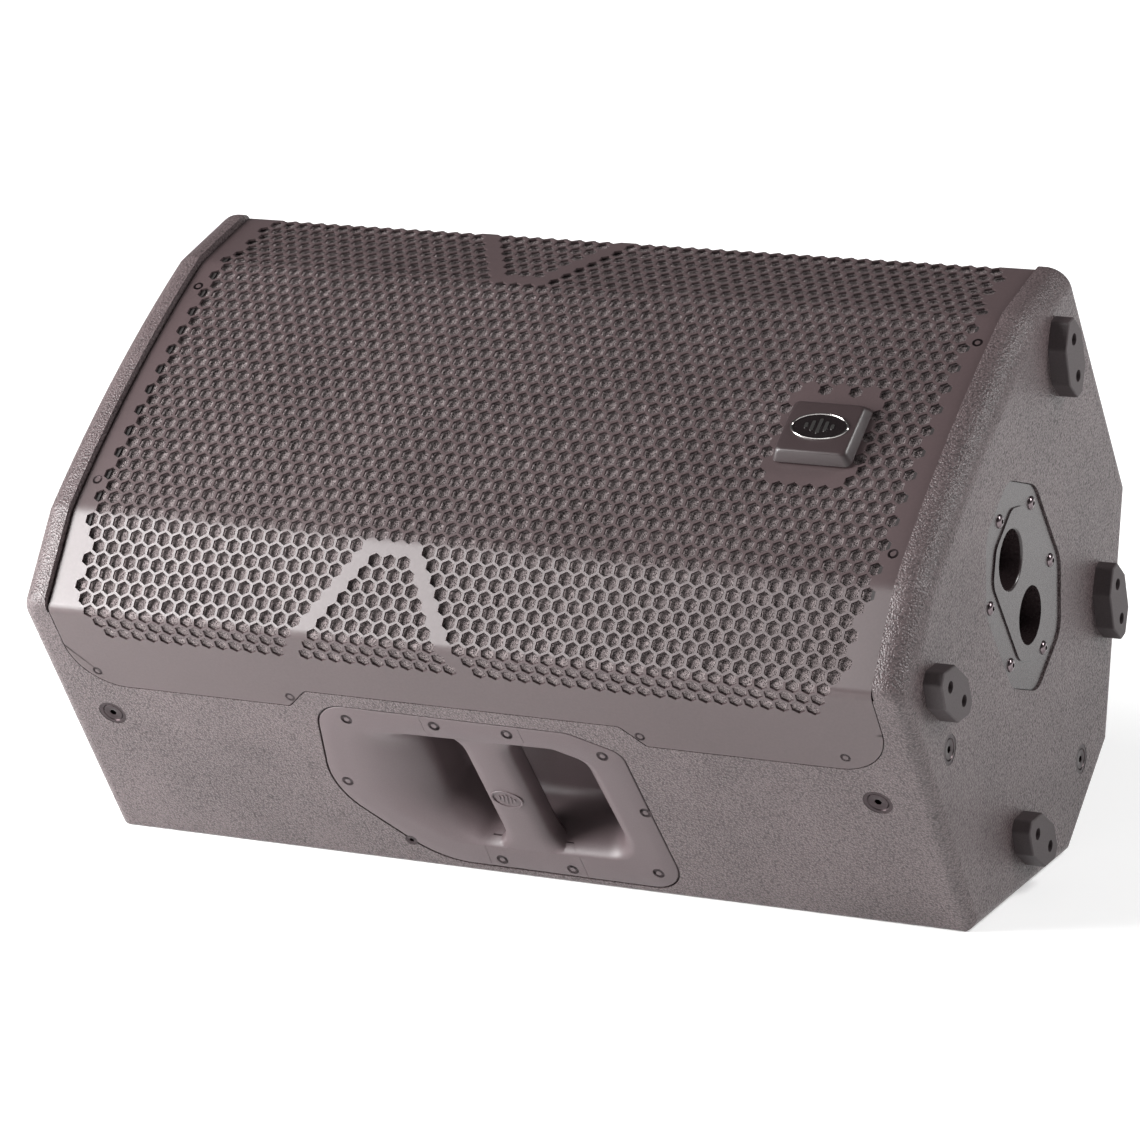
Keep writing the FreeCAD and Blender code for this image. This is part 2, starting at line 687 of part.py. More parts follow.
def open_rear_board(body):
    """A seat for the amplifier's plate, and the opening that its parts pass through."""
    middle = "%.6f" % (board_length("floor_rear", "rear_high") / 2)
    for half_x, half_y, depth in (("(amp_length / 2 + 0.5)", "(amp_width / 2 + 0.5)", "amp_recess"),
                                  ("amp_open_length / 2", "amp_open_width / 2", "side_board + 1")):
        sketch = new_sketch(body, "XY_Plane")
        draw_polygon(sketch, [("-" + half_x, middle + " - " + half_y), (half_x, middle + " - " + half_y),
                              (half_x, middle + " + " + half_y), ("-" + half_x, middle + " + " + half_y)])
        pocket(body, sketch, depth, reverse=True)
    holes = placed(Part.makeCylinder(1.75, 12, Vector(0, 0, -12)), amp_screw_places())
    shape_board(body, [in_frame(holes, body.Placement)] + neighbours_slivers("floor_rear", "rear_high"))


def inner_line(start, end, gap=0.0):
    """A point and direction of a board's inner face in front coordinates."""
    p, q = FRONT_CORNERS[start], FRONT_CORNERS[end]
    d = unit(p, q)
    inset = size("side_board") + gap
    return ((p[0] - d[1] * inset, p[1] + d[0] * inset), d)


def span_points(high, low, gap):
    """Four corners of a board or bar that spans from the handle board to the top board."""
    handle = inner_line("fold_low", "floor_front", gap)
    top = inner_line("back", "fold_high", gap)
    level = (1.0, 0.0)
    return [meet(*handle, (0, low), level), meet(*top, (0, low), level),
            meet(*top, (0, high), level), meet(*handle, (0, high), level)]


def front_baffle():
    """The board that carries the woofer, the horn and the ports."""
    body = new_body("front_baffle", front_frame())
    face = size("baffle_face")
    corners = span_points(face, face - size("baffle_board"), size("baffle_gap"))
    sketch = new_sketch(body, "YZ_Plane")
    draw_polygon(sketch, [("%.4f" % u, "%.4f" % w) for u, w in corners])
    pad(body, sketch, "cabinet_length - 2 * end_board", midplane=True)
    tools = [Part.makeCylinder(size("woofer_cutout"), 60, Vector(size("woofer_x"), 0, -60))]
    horn = size("horn_mouth") / 2 + 5
    tools.append(prism([(size("horn_x") + a * horn, b * horn, 20) for a, b in SQUARE], -60, 0))
    tools += [Part.makeCylinder(size("port_radius") + size("port_wall") + 0.3, 60, Vector(x, u, -60))
              for x, u in port_spots()]
    pilot = Part.makeCylinder(2.1, 16, Vector(0, 0, face - 14))
    tools += [pilot.translated(Vector(x, u, 0)) for x, u in woofer_screws() + horn_screws()]
    cut("front_baffle", body, feature("front_baffle_holes", Part.makeCompound(tools), front_frame()))


def port_spots():
    """Centres of the reflex ports in (x, u)."""
    u = size("port_u")
    return [(size("port_left_x"), u), (size("port_right_x"), u), (size("port_right_x"), -u)]


def woofer_screws():
    """Centres of the woofer's screws in (x, u)."""
    radius = size("woofer_frame") - 5.5
    angles = [math.radians(22.5 + 360 / WOOFER_SCREW_COUNT * i) for i in range(WOOFER_SCREW_COUNT)]
    return [(size("woofer_x") + radius * math.cos(a), radius * math.sin(a)) for a in angles]


def horn_screws():
    """Centres of the horn's screws in (x, u)."""
    half = size("horn_flange") / 2 - 7
    return [(size("horn_x") + a * half, b * half) for a, b in SQUARE]


def brace_and_battens():
    """A bar across the cabinet, and strips that back the grille's ends."""
    body = new_body("cross_brace", front_frame(-236))
    sketch = new_sketch(body, "YZ_Plane")
    draw_polygon(sketch, [("%.4f" % u, "%.4f" % w) for u, w in span_points(-150, -165, 0.05)])
    pad(body, sketch, "2 * end_board", midplane=True)
    points = profile_points(size("grille_sheet") + 0.2)
    base = size("baffle_face") + 0.2
    wing = unit(points[0], points[1])
    ends = [meet(points[1], wing, (0, base), (1, 0)), meet(points[3], (-wing[0], wing[1]), (0, base), (1, 0))]
    inset = size("side_board") + 2.5
    low = (max(ends[0][0], points[0][0] + inset), base)
    high = (min(ends[1][0], points[4][0] - inset), base)
    low_top = meet(points[1], wing, low, (0, 1))
    high_top = meet(points[3], (-wing[0], wing[1]), high, (0, 1))
    edges = [Part.LineSegment(yz(low), yz(low_top)), Part.LineSegment(yz(low_top), yz(points[1])),
             Part.Arc(*[yz(p) for p in points[1:4]]), Part.LineSegment(yz(points[3]), yz(high_top)),
             Part.LineSegment(yz(high_top), yz(high)), Part.LineSegment(yz(high), yz(low))]
    strip = Part.Face(Part.Wire([e.toShape() for e in edges])).extrude(Vector(size("batten_width"), 0, 0))
    inner = INNER_LENGTH / 2
    left = strip.translated(Vector(-inner, 0, 0))
    right = strip.translated(Vector(inner - size("batten_width"), 0, 0))
    holes = Part.makeCompound([s.copy() for s in face_screw_holes()])
    node_feature("grille_battens", Part.makeCompound([left.cut(holes), right.cut(holes)]), front_frame())


def yz(point, x=0.0):
    """A plane point as a vector in YZ."""
    return Vector(x, point[0], point[1])


# ---------------------------------------------------------------- grille, foam and badge

def front_strip(near, far, half_length, ends):
    """A curved sheet between two depths under the grille's face, from fold to fold."""
    outer = profile_points(near)
    inner = profile_points(far)
    if ends is not None:
        wing = unit(outer[0], outer[1])
        normal = (-wing[1], wing[0])
        stop = (outer[0][0] + wing[0] * ends, outer[0][1] + wing[1] * ends)
        outer[0] = stop
        inner[0] = meet(inner[1], wing, stop, normal)
        outer[4] = (-stop[0], stop[1])
        inner[4] = (-inner[0][0], inner[0][1])
    edges = [Part.LineSegment(yz(outer[0]), yz(outer[1])), Part.Arc(*[yz(p) for p in outer[1:4]]),
             Part.LineSegment(yz(outer[3]), yz(outer[4])), Part.LineSegment(yz(outer[4]), yz(inner[4])),
             Part.LineSegment(yz(inner[4]), yz(inner[3])), Part.Arc(*[yz(p) for p in inner[3:0:-1]]),
             Part.LineSegment(yz(inner[1]), yz(inner[0])), Part.LineSegment(yz(inner[0]), yz(outer[0]))]
    face = Part.Face(Part.Wire([e.toShape() for e in edges]))
    solid = face.extrude(Vector(2 * half_length, 0, 0))
    solid.translate(Vector(-half_length, 0, 0))
    return solid


def face_point(u):
    """Height and slope (degrees) of the grille's face at u, on the bowed middle part."""
    radius = crown_radius()
    w = size("kink_w") + size("crown_rise") - radius + math.sqrt(radius * radius - u * u)
    return w, -math.degrees(math.asin(u / radius))


def face_screw_places():
    """Places of the four screws in the bowed part of the grille, in the front frame."""
    places = []
    for side in (-1, 1):
        for u in (-size("grille_screw_u"), size("grille_screw_u")):
            w, slope = face_point(u)
            spot = Vector(side * size("grille_screw_x"), u, w)
            places.append(Placement(spot, Rotation(Vector(1, 0, 0), slope)))
    return places


def face_screw_holes():
    """Clearance holes for those screws."""
    return [placed(flat_screw_hole(*GRILLE_SCREW_HOLE), [p]) for p in face_screw_places()]


def flange_blank(start, end, from_start, notched):
    """One flange of the grille, in the front frame."""
    outline = flange_outline(0.0, notched)
    if not from_start:
        length = board_length(start, end)
        outline = [(-x, length - y, radius) for x, y, radius in outline]
    blank = prism(outline, 0, size("grille_sheet"))
    blank.Placement = front_frame().inverse() * board_frame(start, end)
    return blank


def grille():
    """The folded sheet over the whole front, with a flange along the handle side and the top."""
    half = INNER_LENGTH / 2 - size("grille_gap")
    shape = front_strip(0.0, size("grille_sheet"), half, None)
    envelope = front_strip(0.0, 90, half + 20, None)
    for start, end, first in (("fold_low", "floor_front", True), ("back", "fold_high", False)):
        blank = flange_blank(start, end, first, first)
        above = front_strip(-30, 0.0, half + 20, None)
        shape = shape.fuse(blank.cut(above).common(tall_box(envelope)))
    shape = shape.removeSplitter()
    holes = face_screw_holes()
    hole = flat_screw_hole(*GRILLE_SCREW_HOLE)
    to_front_frame = front_frame().inverse()
    holes += [placed(hole, [to_front_frame * flipped(handle_frame(x, t))]) for x, t in FLANGE_SCREWS]
    stud = Part.makeCylinder(size("pivot_radius") + size("shaft_clearance"), 40,
                             Vector(size("badge_x"), 0, 0))
    shape = shape.cut(Part.makeCompound(holes + [stud]))
    node_feature("grille", shape, front_frame())


def tall_box(envelope):
    """The room below the grille's face, down past both flanges."""
    box = envelope.BoundBox
    room = Part.makeBox(box.XLength, box.YLength + 20, 200)
    room.translate(Vector(box.XMin, box.YMin - 10, -160))
    return room.fuse(envelope)


def foam():
    """The dark acoustic foam behind the grille, held between the end strips."""
    near = size("grille_sheet") + size("foam_gap")
    half = INNER_LENGTH / 2 - size("batten_width") - 0.5
    shape = front_strip(near, near + size("foam_sheet"), half, size("foam_end"))
    clip = Part.makeCylinder(9.5, 40, Vector(size("badge_x"), 0, 0))
    node_feature("grille_foam", shape.cut(clip), front_frame())


def badge():
    """A square badge that turns a quarter on a stud through the grille."""
    w = size("kink_w") + size("crown_rise")
    base = w + size("badge_lift")
    body = new_body("badge_tile", front_frame(size("badge_x"), 0, base))
    half = "badge_side / 2"
    sketch = new_sketch(body, "XY_Plane")
    draw_polygon(sketch, [("-" + half, "-" + half), (half, "-" + half), (half, half), ("-" + half, half)])
    block = pad(body, sketch, "badge_height")
    sides = round_edges(body, block, "2.5", lambda edge, middle: is_upright(edge))
    round_edges(body, sides, "1.5", lambda edge, middle: middle.z > size("badge_height") - 0.01)
    pit = Part.makeCylinder(18, 2, Vector(0, 0, size("badge_height") - 1.2))
    stretch = FreeCAD.Matrix()
    stretch.scale(1.0, 0.62, 1.0)
    pit = pit.transformGeometry(stretch)
    stud_hole = Part.makeCylinder(size("pivot_radius"), 6, Vector(0, 0, 0))
    place = front_frame(size("badge_x"), 0, base)
    cut("badge_tile", body, feature("badge_tile_pits", Part.makeCompound([pit, stud_hole]), place))
    inlay = Part.makeCylinder(17.8, 1.6, Vector(0, 0, size("badge_height") - 1.2))
    node_feature("badge_emblem", inlay.transformGeometry(stretch), place)
    radius = size("pivot_radius")
    stud = turned_shape([(0, 6), (radius, 6), (radius, -4.3), (7.5, -4.3), (7.5, -6), (0, -6)])
    node_feature("badge_pivot", stud, place)


def is_upright(edge):
    """Whether an edge runs along the body's z axis."""
    ends = [v.Point for v in edge.Vertexes]
    return len(ends) == 2 and abs(ends[0].x - ends[1].x) < 1e-4 and abs(ends[0].y - ends[1].y) < 1e-4


def grille_screws():
    """All eight screws of the grille: four in its face, four in its lower flange."""
    screw = flat_screw(3.6, 1.6, 11, 1.5)
    places = [front_frame() * p for p in face_screw_places()]
    places += [flipped(handle_frame(x, t)) for x, t in FLANGE_SCREWS]
    node_feature("grille_screws", placed(screw, places))


# ---------------------------------------------------------------- handle

def grip_outline(gap):
    """The grip with its two end tabs: the bar leans a little along the cabinet."""
    return [(-36 - gap, 50, 0.5), (31 + gap, 50, 0.5), (33 + gap, 76 + gap, 3), (18 + gap, 82, 6),
            (26 + gap, 170, 6), (42 + gap, 178 - gap, 3), (44 + gap, 210, 0.5), (-24 - gap, 210, 0.5),
            (-24 - gap, 178 - gap, 3), (-8 - gap, 170, 6), (-16 - gap, 82, 6), (-35 - gap, 76 + gap, 3)]


def handle():
    """A moulded cup let into the handle board, with a separate grip across it."""
    depth = size("cup_depth")
    wall = size("cup_wall")
    flange = prism(CUP_OUTLINE, 0, size("cup_flange"))
    outer = tapered(grown(BOWL_OUTLINE, wall), 0, depth, 10)
    inner = tapered(BOWL_OUTLINE, -0.1, depth - wall, 10)
    cup = flange.fuse(outer).cut(inner)
    gap = size("joint_gap")
    tabs = prism(grip_outline(gap), -1, size("cup_flange") + gap)
    cup = cup.cut(tabs)
    holes = Part.makeCompound(holes_facing_in(flat_screw_hole(*CUP_SCREW_HOLE), CUP_SCREWS))
    cup = cup.cut(holes)
    node_feature("handle_cup", largest(cup), handle_frame())
    plate = prism(grip_outline(0), 0, size("cup_flange")).common(prism(CUP_OUTLINE, -1, 20))
    bar = prism([(-14, 84, 5), (16, 84, 5), (24, 170, 5), (-6, 170, 5)], 0, size("grip_depth"))
    bar = bar.makeFillet(5, [e for e in bar.Edges if abs(e.CenterOfMass.z - size("grip_depth")) < 0.01])
    grip = plate.fuse(bar).removeSplitter().cut(holes)
    node_feature("handle_grip", grip, handle_frame())
    screw = flat_screw(4.2, 1.8, 12.5, 1.6)
    node_feature("handle_screws", placed(screw, [flipped(handle_frame(x, t)) for x, t in CUP_SCREWS]))


def tapered(outline, low, high, angle):
    """A rounded outline that narrows by an angle from low to high."""
    shrink = (high - low) * math.tan(math.radians(angle))
    bottom = rounded(outline)
    bottom.translate(Vector(0, 0, low))
    top = rounded([(x, y, max(r, 0.5)) for x, y, r in grown_keep(outline, -shrink)])
    top.translate(Vector(0, 0, high))
    return Part.makeLoft([bottom, top], True, True)


def grown_keep(points, step):
    """Move the sides of an outline but keep its corner radii."""
    return [(g[0], g[1], p[2]) for g, p in zip(grown(points, step), points)]


def largest(shape):
    """The biggest solid of a shape, which drops offcuts."""
    return max(shape.Solids, key=lambda s: s.Volume)


# ---------------------------------------------------------------- pole sockets and feet

def plate_outline():
    """The socket plate in (u, w): an upright octagon with soft corners."""
    return [(-29, -166, 18), (19, -166, 18), (46, -130, 22), (46, -60, 22), (17, -22, 18), (-27, -22, 18),
            (-56, -60, 22), (-56, -130, 22)]


def platform_outline():
    """The raised middle of the plate, round both sockets, in (u, w)."""
    return [(-37, -128, 16), (-20, -147, 10), (12, -147, 14), (27, -128, 14), (27, -56, 14), (12, -42, 12),
            (-20, -42, 12), (-37, -56, 14)]


def cup_depth_of(tilted):
    """Depth of a socket below the board's recess; the leaning one is shorter."""
    return size("lean_depth") if tilted else size("pole_depth")


def pole_axis(tilted):
    """Placement of one bore in the end frame: z out of its mouth."""
    w = size("pole_high_w") if tilted else size("pole_low_w")
    angle = -size("pole_tilt") if tilted else 0.0
    spot = Vector(size("pole_u"), w, -size("plate_recess"))
    return Placement(spot, Rotation(Vector(1, 0, 0), angle))


def pole_cup(extra, depth, top):
    """A round cup shape along a bore's own axis."""
    return Part.makeCylinder(size("pole_bore") + extra, depth + top, Vector(0, 0, -depth))


def pole_pocket():
    """The room that both cups need through the end board."""
    wall = size("pole_wall") + 0.6
    return Part.makeCompound([placed(pole_cup(wall, 60, MOUTH_ROOM), [pole_axis(t)]) for t in (False, True)])


def plate_screw_hole(spot):
    """A pilot hole in the end board for a screw of the socket plate."""
    return Part.makeCylinder(2, 14, Vector(spot[0], spot[1], -17))


def plate_face():
    """Height of the plate's outer face in the end frame: a little below the board's own."""
    return -size("plate_recess") + size("plate_sheet")


def pole_plate():
    """One casting: a stepped plate with two blind cups, one square to the end and one leaning."""
    face = plate_face()
    low_face = face - size("plate_step")
    wall = size("pole_wall")
    both = (False, True)
    sheet = prism(plate_outline(), -size("plate_recess"), face)
    outer = [placed(pole_cup(wall, cup_depth_of(t) + wall, MOUTH_ROOM), [pole_axis(t)]) for t in both]
    bores = [placed(pole_cup(0, cup_depth_of(t), 20), [pole_axis(t)]) for t in both]
    below = prism([(-120, -300, 1), (120, -300, 1), (120, 100, 1), (-120, 100, 1)], -400, face)
    border = prism(grown(plate_outline(), 2), low_face, face + 1).cut(prism(platform_outline(), -50, 50))
    casting = sheet.fuse(outer).common(below).cut(border).cut(Part.makeCompound(bores))
    mouths = [e for e in casting.Edges if abs(e.CenterOfMass.z - face) < 0.01 and is_mouth(e)]
    casting = casting.makeFillet(size("mouth_round"), mouths)
    holes = [Part.makeCylinder(2.2, 20, Vector(u, w, -14)) for u, w in PLATE_SCREWS]
    node_feature("pole_plate", casting.cut(Part.makeCompound(holes)), end_frame(1))
    screw = dome_screw(4.4, 2.4, 1.9, 14, 1.5)
    places = [end_frame(1) * Placement(Vector(u, w, low_face), Rotation()) for u, w in PLATE_SCREWS]
    node_feature("pole_plate_screws", placed(screw, places))


def is_mouth(edge):
    """Whether an edge is the whole rim of a socket."""
    return abs(edge.Length - 2 * math.pi * size("pole_bore")) < 2


def foot_outline():
    """An elongated hexagon."""
    half = size("foot_length") / 2
    wide = size("foot_width") / 2
    return [(-wide, -half + 14, 3), (-wide + 10, -half, 3), (wide - 10, -half, 3), (wide, -half + 14, 3),
            (wide, half - 14, 3), (wide - 10, half, 3), (-wide + 10, half, 3), (-wide, half - 14, 3)]


def foot_place(spot, height=0.0):
    """Place of a foot on the end board, turned as it is mounted."""
    u, w, turn = spot
    return end_frame(1) * Placement(Vector(u, w, height), Rotation(Vector(0, 0, 1), -turn))


def foot_screw_spots():
    """Screw positions in the end frame, two to a foot."""
    spots = []
    for u, w, turn in FEET:
        for along in FOOT_SCREW_OFFSETS:
            angle = math.radians(turn)
            spots.append((u + along * math.sin(angle), w + along * math.cos(angle)))
    return spots


def foot_hole(spot):
    """A pilot hole in the end board for a screw of a foot."""
    return Part.makeCylinder(1.9, 16, Vector(spot[0], spot[1], -15))


def feet():
    """Four rubber feet on the end board, for standing the cabinet upright."""
    height = size("foot_height")
    block = prism(foot_outline(), 0, height)
    top_edges = [e for e in block.Edges if abs(e.CenterOfMass.z - height) < 0.01]
    block = block.makeFillet(1.2, top_edges)
    for along in FOOT_SCREW_OFFSETS:
        block = block.cut(Part.makeCylinder(3.8, height, Vector(0, along, height / 2)))
        block = block.cut(Part.makeCylinder(2.1, height, Vector(0, along, -1)))
    for number, spot in enumerate(FEET, start=1):
        node_feature("rubber_foot_%d" % number, block, foot_place(spot))
    screw = dome_screw(3.4, 1.8, 1.8, 19, 1.4)
    places = [end_frame(1) * Placement(Vector(u, w, height / 2), Rotation()) for u, w in foot_screw_spots()]
    node_feature("foot_screws", placed(screw, places))


# ---------------------------------------------------------------- rigging points

def insert_places():
    """Places of the rigging inserts: two in each end board, two in the handle board."""
    places = [end_frame(side) * Placement(Vector(side * u, w, 0), Rotation())
              for side in (-1, 1) for u, w in END_INSERTS]
    return places + [flipped(handle_frame(x, t)) for x, t in HANDLE_INSERTS]


def rigging():
    """Steel inserts with a threaded bore, each closed by a countersunk blanking screw."""
    radius = size("insert_radius") - 0.1
    length = size("insert_length") - 0.2
    bore = size("insert_bore")
    sleeve = turned_shape([(bore + 2.2, -0.2), (radius, -0.2), (radius, -length), (bore, -length),
                           (bore, -2.4)])
    node_feature("rigging_inserts", placed(sleeve, insert_places()))
    plug = flat_screw(bore + 1.4, bore - 0.15, length - 1, 3)
    lowered = [p * Placement(Vector(0, 0, -0.5), Rotation()) for p in insert_places()]
    node_feature("blanking_screws", placed(plug, lowered))


# ---------------------------------------------------------------- woofer

def turned_body(label, place, profile):
    """A PartDesign body turned about its z axis from (radius, z) points."""
    body = new_body(label, place)
    sketch = new_sketch(body, "XZ_Plane")
    draw_polygon(sketch, profile)
    revolve(body, sketch)
    return body


def woofer():
    """A twelve-inch cone driver: frame, magnet system and the parts that travel."""
    place = front_frame(size("woofer_x"), 0, size("baffle_face"))
    frame = turned_body("woofer_frame", place, [
        ("woofer_cutout - 5", "0"), ("woofer_frame", "0"), ("woofer_frame", "5"), ("woofer_cutout - 5", "5"),
        ("woofer_cutout - 8", "3"), ("82", "-70"), ("52", "-78"), ("52", "-82"), ("84", "-74"),
        ("woofer_cutout - 4.6", "-1")])
    windows = Part.makeCompound([frame_window(i) for i in range(6)])
    screws = Part.makeCompound([Part.makeCylinder(2.3, 12, Vector(x - size("woofer_x"), u, -3))
                                for x, u in woofer_screws()])
    cut("woofer_frame", frame, feature("woofer_frame_holes", Part.makeCompound([windows, screws]), place))
    turned_body("magnet_top_plate", place, [("coil_radius + 1.5", "-82.2"), ("60", "-82.2"), ("60", "-90"),
                                            ("coil_radius + 1.5", "-90")])
    turned_body("magnet_ring", place, [("coil_radius + 6", "-90.2"), ("magnet_radius", "-90.2"),
                                       ("magnet_radius", "-110"), ("coil_radius + 6", "-110")])
    turned_body("magnet_yoke", place, [("0", "-82"), ("coil_radius - 2.5", "-82"),
                                       ("coil_radius - 2.5", "-110.2"), ("magnet_radius - 8", "-110.2"),
                                       ("magnet_radius - 8", "-118"), ("0", "-118")])
    roll = turned_body("surround_ring", place, surround_profile())
    spider = turned_body("spider_ring", place, [("coil_radius + 1", "-64"), ("68", "-64"), ("68", "-65.2"),
                                                ("coil_radius + 1", "-65.2")])
    joined("cone_suspension", [roll, spider])
    turned_body("woofer_cone", place, [
        ("cone_radius", "4"), ("cone_radius", "5.2"), ("cone_radius - 3", "5.2"),
        ("coil_radius + 0.5", "-44"), ("coil_radius + 0.5", "-45.6"), ("coil_radius + 2.5", "-45.6")])
    turned_body("dust_cap", place, [
        ("0", "-26"), ("22", "-29"), ("38", "-34"), ("46.2", "-39"), ("44.9", "-40.2"), ("37", "-35.2"),
        ("21.5", "-30.2"), ("0", "-27.2")])
    turned_body("voice_coil", place, [("coil_radius", "-46"), ("coil_radius + 0.4", "-46"),
                                      ("coil_radius + 0.4", "-100"), ("coil_radius", "-100")])


def frame_window(index):
    """One of the openings between the ribs of the frame."""
    sector = turned_shape([(88, -12), (126, -12), (126, -66), (88, -66)])
    wedge = Part.makeBox(200, 78, 80, Vector(0, -39, -75))
    window = sector.common(wedge)
    window.rotate(Vector(), Vector(0, 0, 1), 60 * index)
    return window


def surround_profile():
    """A half roll between the frame's lip and the cone."""
    outer = "roll_outer"
    inner = "cone_radius + 0.5"
    rise = ["7.5", "11", "12.5", "11", "7.5"]
    share = [0.02, 0.22, 0.5, 0.78, 0.98]
    top = [("%s + (%s - %s) * %.2f" % (inner, outer, inner, s), h) for s, h in zip(share, rise)]
    top[0] = (inner, rise[0])
    low = [("%s + (%s - (%s)) * %.2f" % (inner, outer, inner, s), "%s - 1.3" % h)
           for s, h in zip(share[1:4], rise[1:4])]
    return ([(inner, "5.4")] + top + [(outer + " + 4", "6.4"), (outer + " + 4", "5.2"), (outer, "5.2")]
            + low[::-1] + [(inner + " + 1.2", "5.4")])


# ---------------------------------------------------------------- horn, driver and ports

def rounded_square(half, corner, height):
    """A square wire with round corners at one height."""
    wire = rounded([(a * half, b * half, corner) for a, b in SQUARE])
    wire.translate(Vector(0, 0, height))
    return wire


def horn():
    """A square waveguide with a flange, and the compression driver behind it."""
    place = front_frame(size("horn_x"), 0, size("baffle_face"))
    mouth = size("horn_mouth") / 2
    depth = size("horn_depth")
    throat = size("throat")
    flange = prism([(a * size("horn_flange") / 2, b * size("horn_flange") / 2, 12) for a, b in SQUARE], 0, 5)
    stations = [(1.0, 5.0), (0.72, -depth * 0.3), (0.4, -depth * 0.68), (throat / mouth, -depth)]
    corners = [mouth * k * (0.3 + 0.55 * (1 - k)) for k, _ in stations]
    air = [rounded_square(mouth * k, corner, z) for (k, z), corner in zip(stations, corners)]
    skin = [rounded_square(mouth * k + 3, corner + 3, z) for (k, z), corner in zip(stations, corners)]
    shape = flange.fuse(Part.makeLoft(skin, True)).cut(Part.makeLoft(air, True))
    collar = Part.makeCylinder(size("driver_radius") - 8, 6, Vector(0, 0, -depth))
    shape = shape.fuse(collar.cut(Part.makeCylinder(throat - 1, 8, Vector(0, 0, -depth - 1))))
    shape = shape.cut(Part.makeLoft(air, True))
    holes = [Part.makeCylinder(2.3, 12, Vector(x - size("horn_x"), u, -4)) for x, u in horn_screws()]
    node_feature("horn_flare", shape.cut(Part.makeCompound(holes)), place)
    radius = "driver_radius"
    top = "-horn_depth - 0.1"
    turned_body("compression_driver", place, [
        ("throat - 1", top), (radius + " - 6", top), (radius, top + " - 6"),
        (radius, top + " - driver_length + 8"), (radius + " - 8", top + " - driver_length"),
        ("0", top + " - driver_length"),
        ("0", top + " - 20"), ("throat - 1", top + " - 12")])


def driver_screws():
    """The screws of the woofer and the horn, all of one kind."""
    screw = dome_screw(4.2, 2.2, 2.0, 17.5, 1.6)
    places = [front_frame(x, u, size("baffle_face") + 5) for x, u in woofer_screws()]
    places += [front_frame(x, u, size("baffle_face") + 5) for x, u in horn_screws()]
    node_feature("driver_screws", placed(screw, places))


def ports():
    """Three short reflex tubes with a lip."""
    bore = size("port_radius")
    wall = size("port_wall")
    tube = turned_shape([(bore, 3), (bore + 4, 3), (bore + 4, 0.1), (bore + wall, 0.1),
                         (bore + wall, -size("port_length")), (bore, -size("port_length"))])
    spots = [front_frame(x, u, size("baffle_face")) for x, u in port_spots()]
    node_feature("port_tubes", placed(tube, spots))


def lining():
    """Felt on the inner faces of the floor board and the back board."""
    sheet = Part.makeBox(2 * 250, 96, 10, Vector(-250, 26, size("side_board") + 0.2))
    floor = placed(sheet, [board_frame("floor_front", "floor_rear")])
    back = placed(sheet, [board_frame("rear_high", "back")])
    node_feature("damping_felt", Part.makeCompound(floor.Solids + back.Solids))


# ---------------------------------------------------------------- amplifier

def amp_screw_places():
    """Places of the screws round the amplifier's plate."""
    return [amp_frame(x, y, 0) for x, y in AMP_SCREW_SPOTS]


def box_at(spot, width, height, low, high):
    """A box centred on a spot, from z = low to z = high."""
    return Part.makeBox(width, height, high - low, Vector(spot[0] - width / 2, spot[1] - height / 2, low))


def amp_plate():
    """The aluminium plate that closes the rear opening and carries every control."""
    body = new_body("amp_plate", amp_frame())
    half_x = "amp_length / 2"
    half_y = "amp_width / 2"
    sketch = new_sketch(body, "XY_Plane")
    draw_polygon(sketch, [("-" + half_x, "-" + half_y), (half_x, "-" + half_y), (half_x, half_y),
                          ("-" + half_x, half_y)])
    block = pad(body, sketch, "amp_sheet")
    round_edges(body, block, "5", lambda edge, middle: is_upright(edge))
    tools = [Part.makeCylinder(12.2, 9, Vector(x, y, -3)) for x, y in COMBO_SPOTS + [LINK_SPOT]]
    clear = size("shaft_clearance")
    tools += [Part.makeCylinder(3 + clear, 9, Vector(x, y, -3)) for x, y in KNOB_SPOTS]
    tools += [Part.makeCylinder(3.9, 9, Vector(*BUTTON_SPOT, -3))]
    tools += [Part.makeCylinder(2.6, 9, Vector(*LENS_SPOT, -3))]
    tools += [box_at(INLET_SPOT, 28.4, 24.4, -3, 6), box_at(ROCKER_SPOT, 13.4, 19.4, -3, 6)]
    tools += [box_at((x, y + 12.6), 6.8, 4.8, -3, 6) for x, y in COMBO_SPOTS]
    tools += [Part.makeCylinder(2, 9, Vector(x, y, -3)) for x, y in AMP_SCREW_SPOTS]
    tools += [Part.makeCylinder(1.7, 9, Vector(x, y, -3)) for x, y in POST_SPOTS]
    cut("amp_plate", body, feature("amp_plate_holes", Part.makeCompound(tools), amp_frame()))
    screw = dome_screw(3.6, 2.0, 1.6, 13, 1.4)
    places = [amp_frame(x, y, size("amp_sheet")) for x, y in AMP_SCREW_SPOTS]
    node_feature("amp_plate_screws", placed(screw, places))


def heat_sink():
    """A finned extrusion on the outside of the plate."""
    low = size("amp_sheet")
    length = 92
    left = -68
    wide = 58
    base = Part.makeBox(length, wide, 2.2, Vector(left, -wide / 2, low))
    count = 10
    fin = 1.8
    step = (wide - fin) / (count - 1)
    fins = [Part.makeBox(length, fin, 6.4, Vector(left, -wide / 2 + step * i, low + 2.2))
            for i in range(count)]
    node_feature("heat_sink", base.multiFuse(fins).removeSplitter(), amp_frame())


